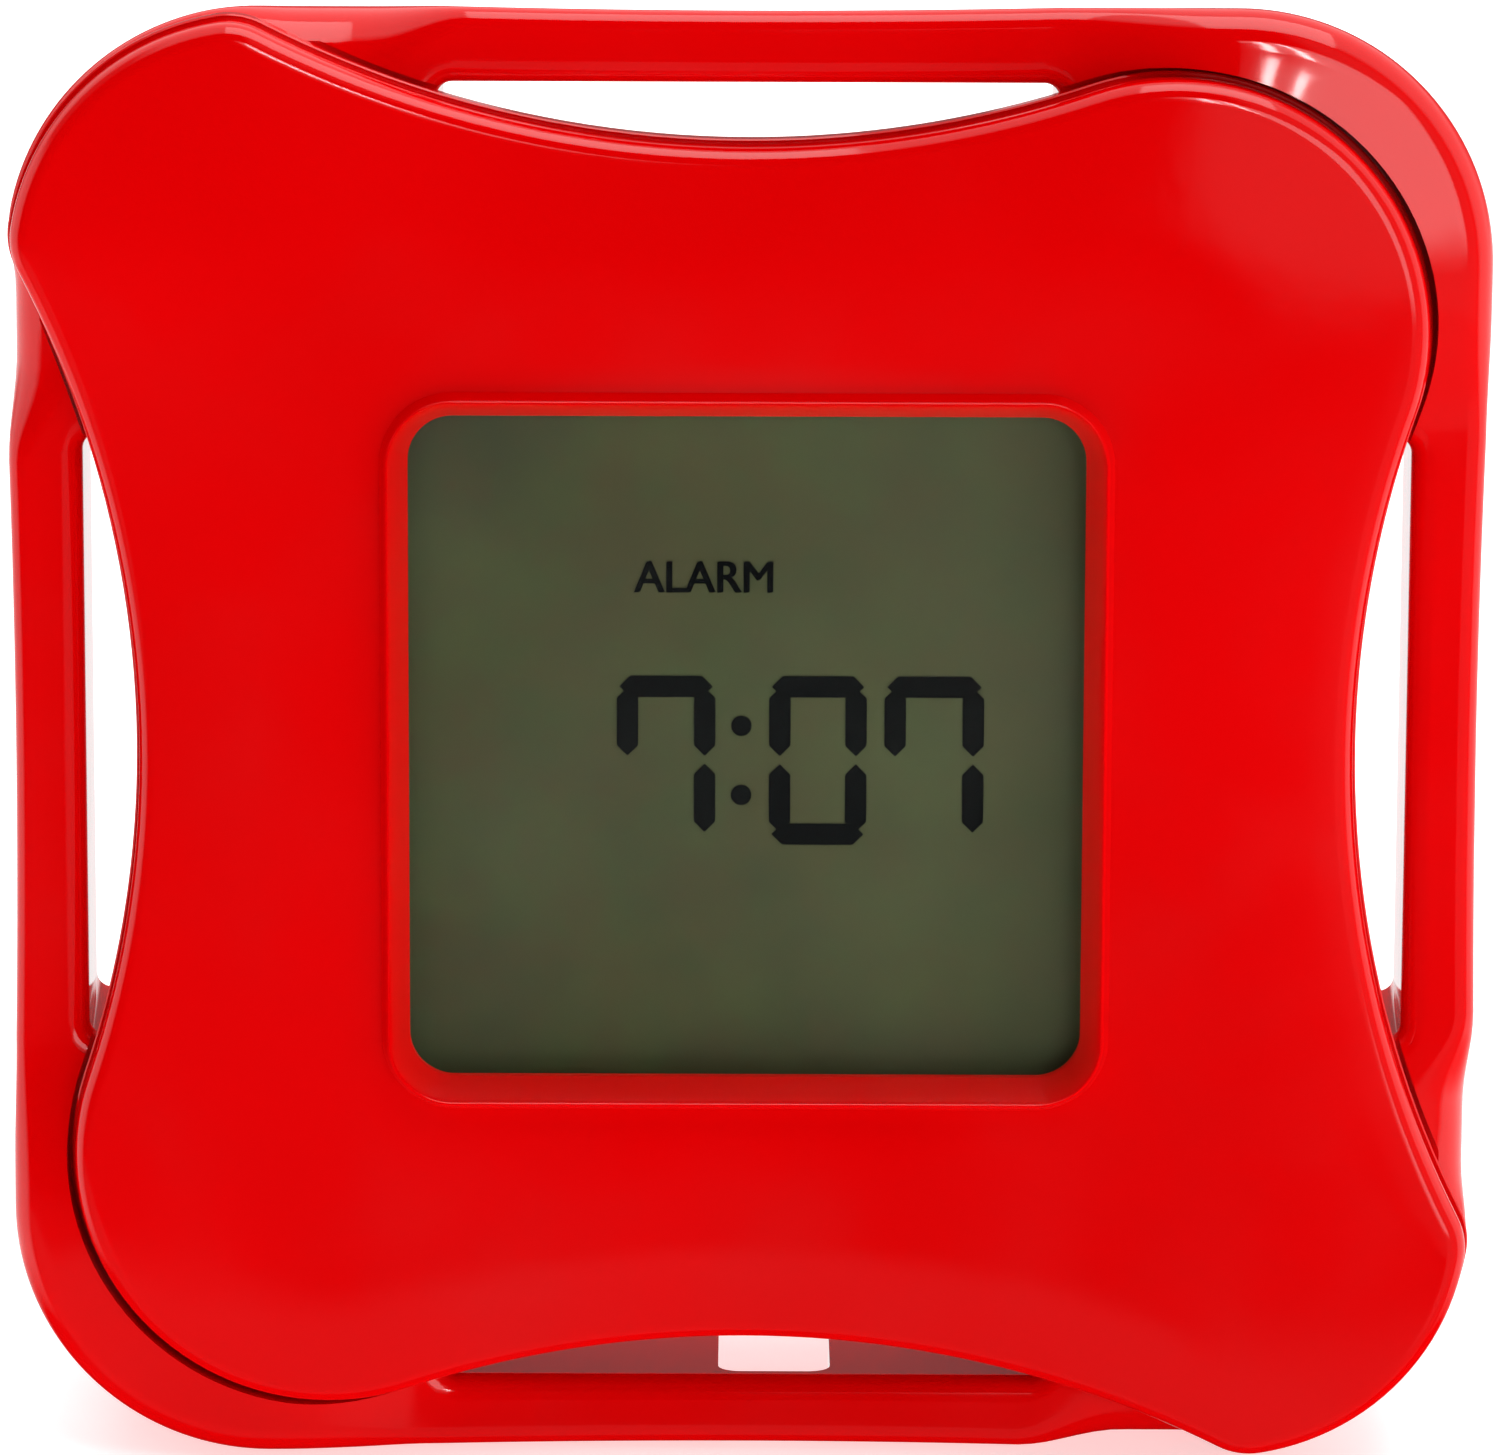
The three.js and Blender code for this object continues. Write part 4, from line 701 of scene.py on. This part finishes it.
def lcd_segments():
    """Seven-segment digits 7:07, as thin dark films."""
    outlines = []
    for middle, half, closed in DIGITS:
        across = 2 * half + BAR_OVERHANG
        outlines.append(digit_segment(across, BAR_WIDTH, middle, DIGIT_TOP, False))
        uprights = [(half, UPPER_BARS), (half, LOWER_BARS), (-half, UPPER_BARS)]
        uprights += [(-half, LOWER_BARS)] * closed
        for aside, z in uprights:
            outlines.append(digit_segment(BAR_HEIGHT, BAR_WIDTH, middle + aside, z, True))
        if closed:
            outlines.append(digit_segment(across, BAR_WIDTH, middle, DIGIT_FOOT, False))
    films = [loft([(outline, FILM_FRONT), (outline, FILM_BACK)]) for outline in outlines]
    films += [bar(COLON_RADIUS, FILM_FRONT, FILM_BACK, COLON_X, z, 32) for z in COLON_HEIGHTS]
    bm = bmesh.new()
    for film in films:
        mesh = bpy.data.meshes.new("film")
        film.to_mesh(mesh)
        film.free()
        bm.from_mesh(mesh)
        bpy.data.meshes.remove(mesh)
    return bm


def printed_word(word, left, low, width, height):
    """Plain capitals in the plane of the digits, laid down twice, a little apart, to be bolder."""
    curve = bpy.data.curves.new("word", "FONT")
    curve.body = word
    curve.extrude = 0.04
    thing = bpy.data.objects.new("word", curve)
    scene.collection.objects.link(thing)
    bpy.context.view_layer.update()
    mesh = bpy.data.meshes.new_from_object(thing.evaluated_get(bpy.context.evaluated_depsgraph_get()))
    bpy.data.objects.remove(thing)
    bpy.data.curves.remove(curve)
    bm = bmesh.new()
    bm.from_mesh(mesh)
    bpy.data.meshes.remove(mesh)
    bmesh.ops.remove_doubles(bm, verts=bm.verts, dist=1e-5)
    again = bmesh.ops.duplicate(bm, geom=bm.verts[:] + bm.edges[:] + bm.faces[:])["geom"]
    aside = [v for v in again if isinstance(v, bmesh.types.BMVert)]
    bmesh.ops.translate(bm, verts=aside, vec=(0.045, 0.012, 0.002))
    low_x, high_x = min(v.co.x for v in bm.verts), max(v.co.x for v in bm.verts)
    low_y, high_y = min(v.co.y for v in bm.verts), max(v.co.y for v in bm.verts)
    moved(
        bm,
        Matrix.Translation((-low_x, -low_y, 0)),
        Matrix.Diagonal((width / (high_x - low_x), height / (high_y - low_y), 1, 1)),
        Matrix.Rotation(pi / 2, 4, "X"),
        Matrix.Translation((left, 2.56, low)),
    )
    return bm


piece("front_cover_shell", front_cover(), red_gloss, "red_gloss", "case", "front_cover")
piece("ring_frame_shell", ring_frame(), red_gloss, "red_gloss", "case", "ring_frame")
piece("back_housing_shell", back_housing(), red_gloss, "red_gloss", "case", "back_housing")
piece("battery_door_shell", battery_door(), button_red, "button_red", "door", "battery_door")
for name, x in BUTTONS.items():
    piece(f"{name}_button_cap", button(x), button_red, "button_red", f"{name}_key", f"{name}_button")
piece("alarm_knob_cap", alarm_knob(), black_resin, "black_resin", "alarm_slider", "alarm_knob")
for number, (sx, sz) in enumerate([(1, 1), (-1, 1), (-1, -1), (1, -1)], 1):
    screw = case_screw(sx * SCREW_OFFSET, sz * SCREW_OFFSET)
    piece(f"case_screw_turned_{number}", screw, steel, "steel", "case", f"case_screw_{number}")
piece("window_lens", slab(48, 48, 3.6, 1.1, 2.3), window_clear, "window", "case", "display_lens")
piece("lcd_digits", lcd_segments(), segment_dark, "display_panel", "case", crease=20)
word = printed_word("ALARM", -7.32, 9.85, 9.06, 2.07)
piece("lcd_alarm_word", word, segment_dark, "display_panel", "case", crease=20)

dressed = {
    "lcd_panel": panel, "lcd_reflector": foil, "lcd_carrier": pale_resin,
    "zebra_strip": connector_rubber, "main_board": board_green, "controller_blob": black_resin,
    "crystal_can": steel, "board_screw": steel, "tilt_switch_left_can": steel,
    "tilt_switch_right_can": steel, "tilt_switch_left_base": black_resin,
    "tilt_switch_right_base": black_resin, "tilt_switch_left_ball": nickel,
    "tilt_switch_right_ball": nickel, "buzzer_disc": brass, "buzzer_ceramic": ceramic,
    "buzzer_lead_ceramic": red_wire, "buzzer_lead_disc": black_wire, "alarm_switch": steel,
    "battery_cell": wrap, "battery_spring": nickel, "bridge_contact": nickel,
    "positive_contact": nickel, "negative_contact": nickel,
}
for name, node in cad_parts.items():
    look = next((look for start, look in dressed.items() if name.startswith(start)), black_resin)
    node.data.materials.clear()
    node.data.materials.append(look.material)

# Camera at the photograph's viewing angle.
camera = bpy.data.objects.new("camera", bpy.data.cameras.new("camera"))
scene.collection.objects.link(camera)
scene.camera = camera
camera.data.lens = 213
camera.data.sensor_width = 36
camera.data.clip_start = 0.01
target = CLOCK @ Vector((0, 0, 0))
away, rise = 0.575, radians(20)
camera.location = target + away * Vector((0, -cos(rise), sin(rise)))
look_at = (target - camera.location).to_track_quat("-Z", "Y")
camera.rotation_euler = (look_at.to_matrix() @ Matrix.Rotation(radians(0.2), 3, "Z")).to_euler()
camera.data.shift_x = 4 / 1500
camera.data.shift_y = 22 / 1500

# Plain pale floor, pale all-round light that is dimmer from the front, and soft lamps.
floor_shape = bmesh.new()
bmesh.ops.create_grid(floor_shape, x_segments=8, y_segments=8, size=3)
floor_mesh = bpy.data.meshes.new("floor")
floor_shape.to_mesh(floor_mesh)
floor_shape.free()
white = (1, 1, 1, 1)
floor_look = Look("pale_floor", Roughness=0.6, Specular_Ior_Level=0.2)
floor_look.set(Emission_Color=white, Emission_Strength=0.55)
floor_look.set(Base_Color=floor_look.blend(floor_look.noise(3), darker(white, 0.9), darker(white, 0.87)))
floor_mesh.materials.append(floor_look.material)
floor = bpy.data.objects.new("floor", floor_mesh)
scene.collection.objects.link(floor)
floor.visible_glossy = False

world = bpy.data.worlds.new("studio")
scene.world = world
world.use_nodes = True
sky = Nodes(world.node_tree)
direction = sky.node("TexCoord", output="Generated")
side, depth, height = [sky.node("SeparateXYZ", None, {"Vector": direction}, output) for output in "XYZ"]


def glow(power, *edges):
    """Light from where each given direction passes from its first value to its second."""
    for along, start, full in edges:
        power = sky.range(along, start, full) * power
    return power


ahead = (depth, -0.35, -0.5)
upper_left = glow(0.85, (side, -0.45, -0.6), (height, 0.3, 0.42), (depth, 0.3, 0.1))
low_back = glow(0.85, (depth, 0.5, 0.8), (height, 0.3, 0.15), (height, -0.22, -0.12))
around = glow(1, (depth, -0.42, -0.2), (height, -0.62, -0.42)) * (1 - upper_left) * (1 - low_back)
right = glow(0.2, ahead, (side, 0.2, 0.3), (height, -0.5, -0.3))
upper_right_height = (height, -0.01, 0.02), (height, 0.4, 0.35)
upper_right = glow(0.3, ahead, (side, 0.055, 0.075), (side, 0.45, 0.4), *upper_right_height)
key_edge = (side + height * 0.5, 0.24, 0.3)
key = glow(2.6, ahead, key_edge, (side, 0.6, 0.5), (height, -0.02, 0.04), (height, 0.5, 0.44))
near_floor = glow(0.12, ahead, (height, -0.165, -0.21))
brightest = around
for panel_glow in (right, upper_right, key, near_floor):
    brightest = sky.math("MAXIMUM", brightest, panel_glow)
background = world.node_tree.nodes["Background"].inputs
background["Color"].default_value = white
sky.put(background["Strength"], brightest * 1.05 + 0.004)


def lamp(name, place, size, power, mirrored=False, lights=True):
    """A soft rectangular lamp aimed at the clock: seen in glossy faces, lighting the rest, or both."""
    light = bpy.data.lights.new(name, "AREA")
    light.shape = "RECTANGLE"
    light.size, light.size_y = size
    light.energy = power
    thing = bpy.data.objects.new(name, light)
    thing.location = place
    thing.rotation_euler = (Vector((0, 0, 0.045)) - thing.location).to_track_quat("-Z", "Y").to_euler()
    thing.visible_glossy, thing.visible_diffuse = mirrored, lights
    scene.collection.objects.link(thing)


lamp("top_softbox", (0.2, 0, 1.0), (0.8, 0.6), 3.6, mirrored=True)
lamp("right_softbox", (0.7, -0.33, 0.2), (0.5, 0.6), 0.9)
lamp("front_fill", (0.4, -1.5, 0.5), (1.2, 0.8), 0.4)
lamp("back_softbox", (0, 0.9, 1.3), (1.6, 1.0), 9)
lamp("low_back_softbox", (0, 0.8, 0.22), (1.4, 0.3), 1.5)
lamp("left_tube", (0.23, -1.9, 0.85), (0.035, 0.4), 1.0, mirrored=True, lights=False)
lamp("right_tube", (0.34, -1.9, 0.85), (0.035, 0.4), 1.0, mirrored=True, lights=False)

scene.view_settings.view_transform = "Standard"
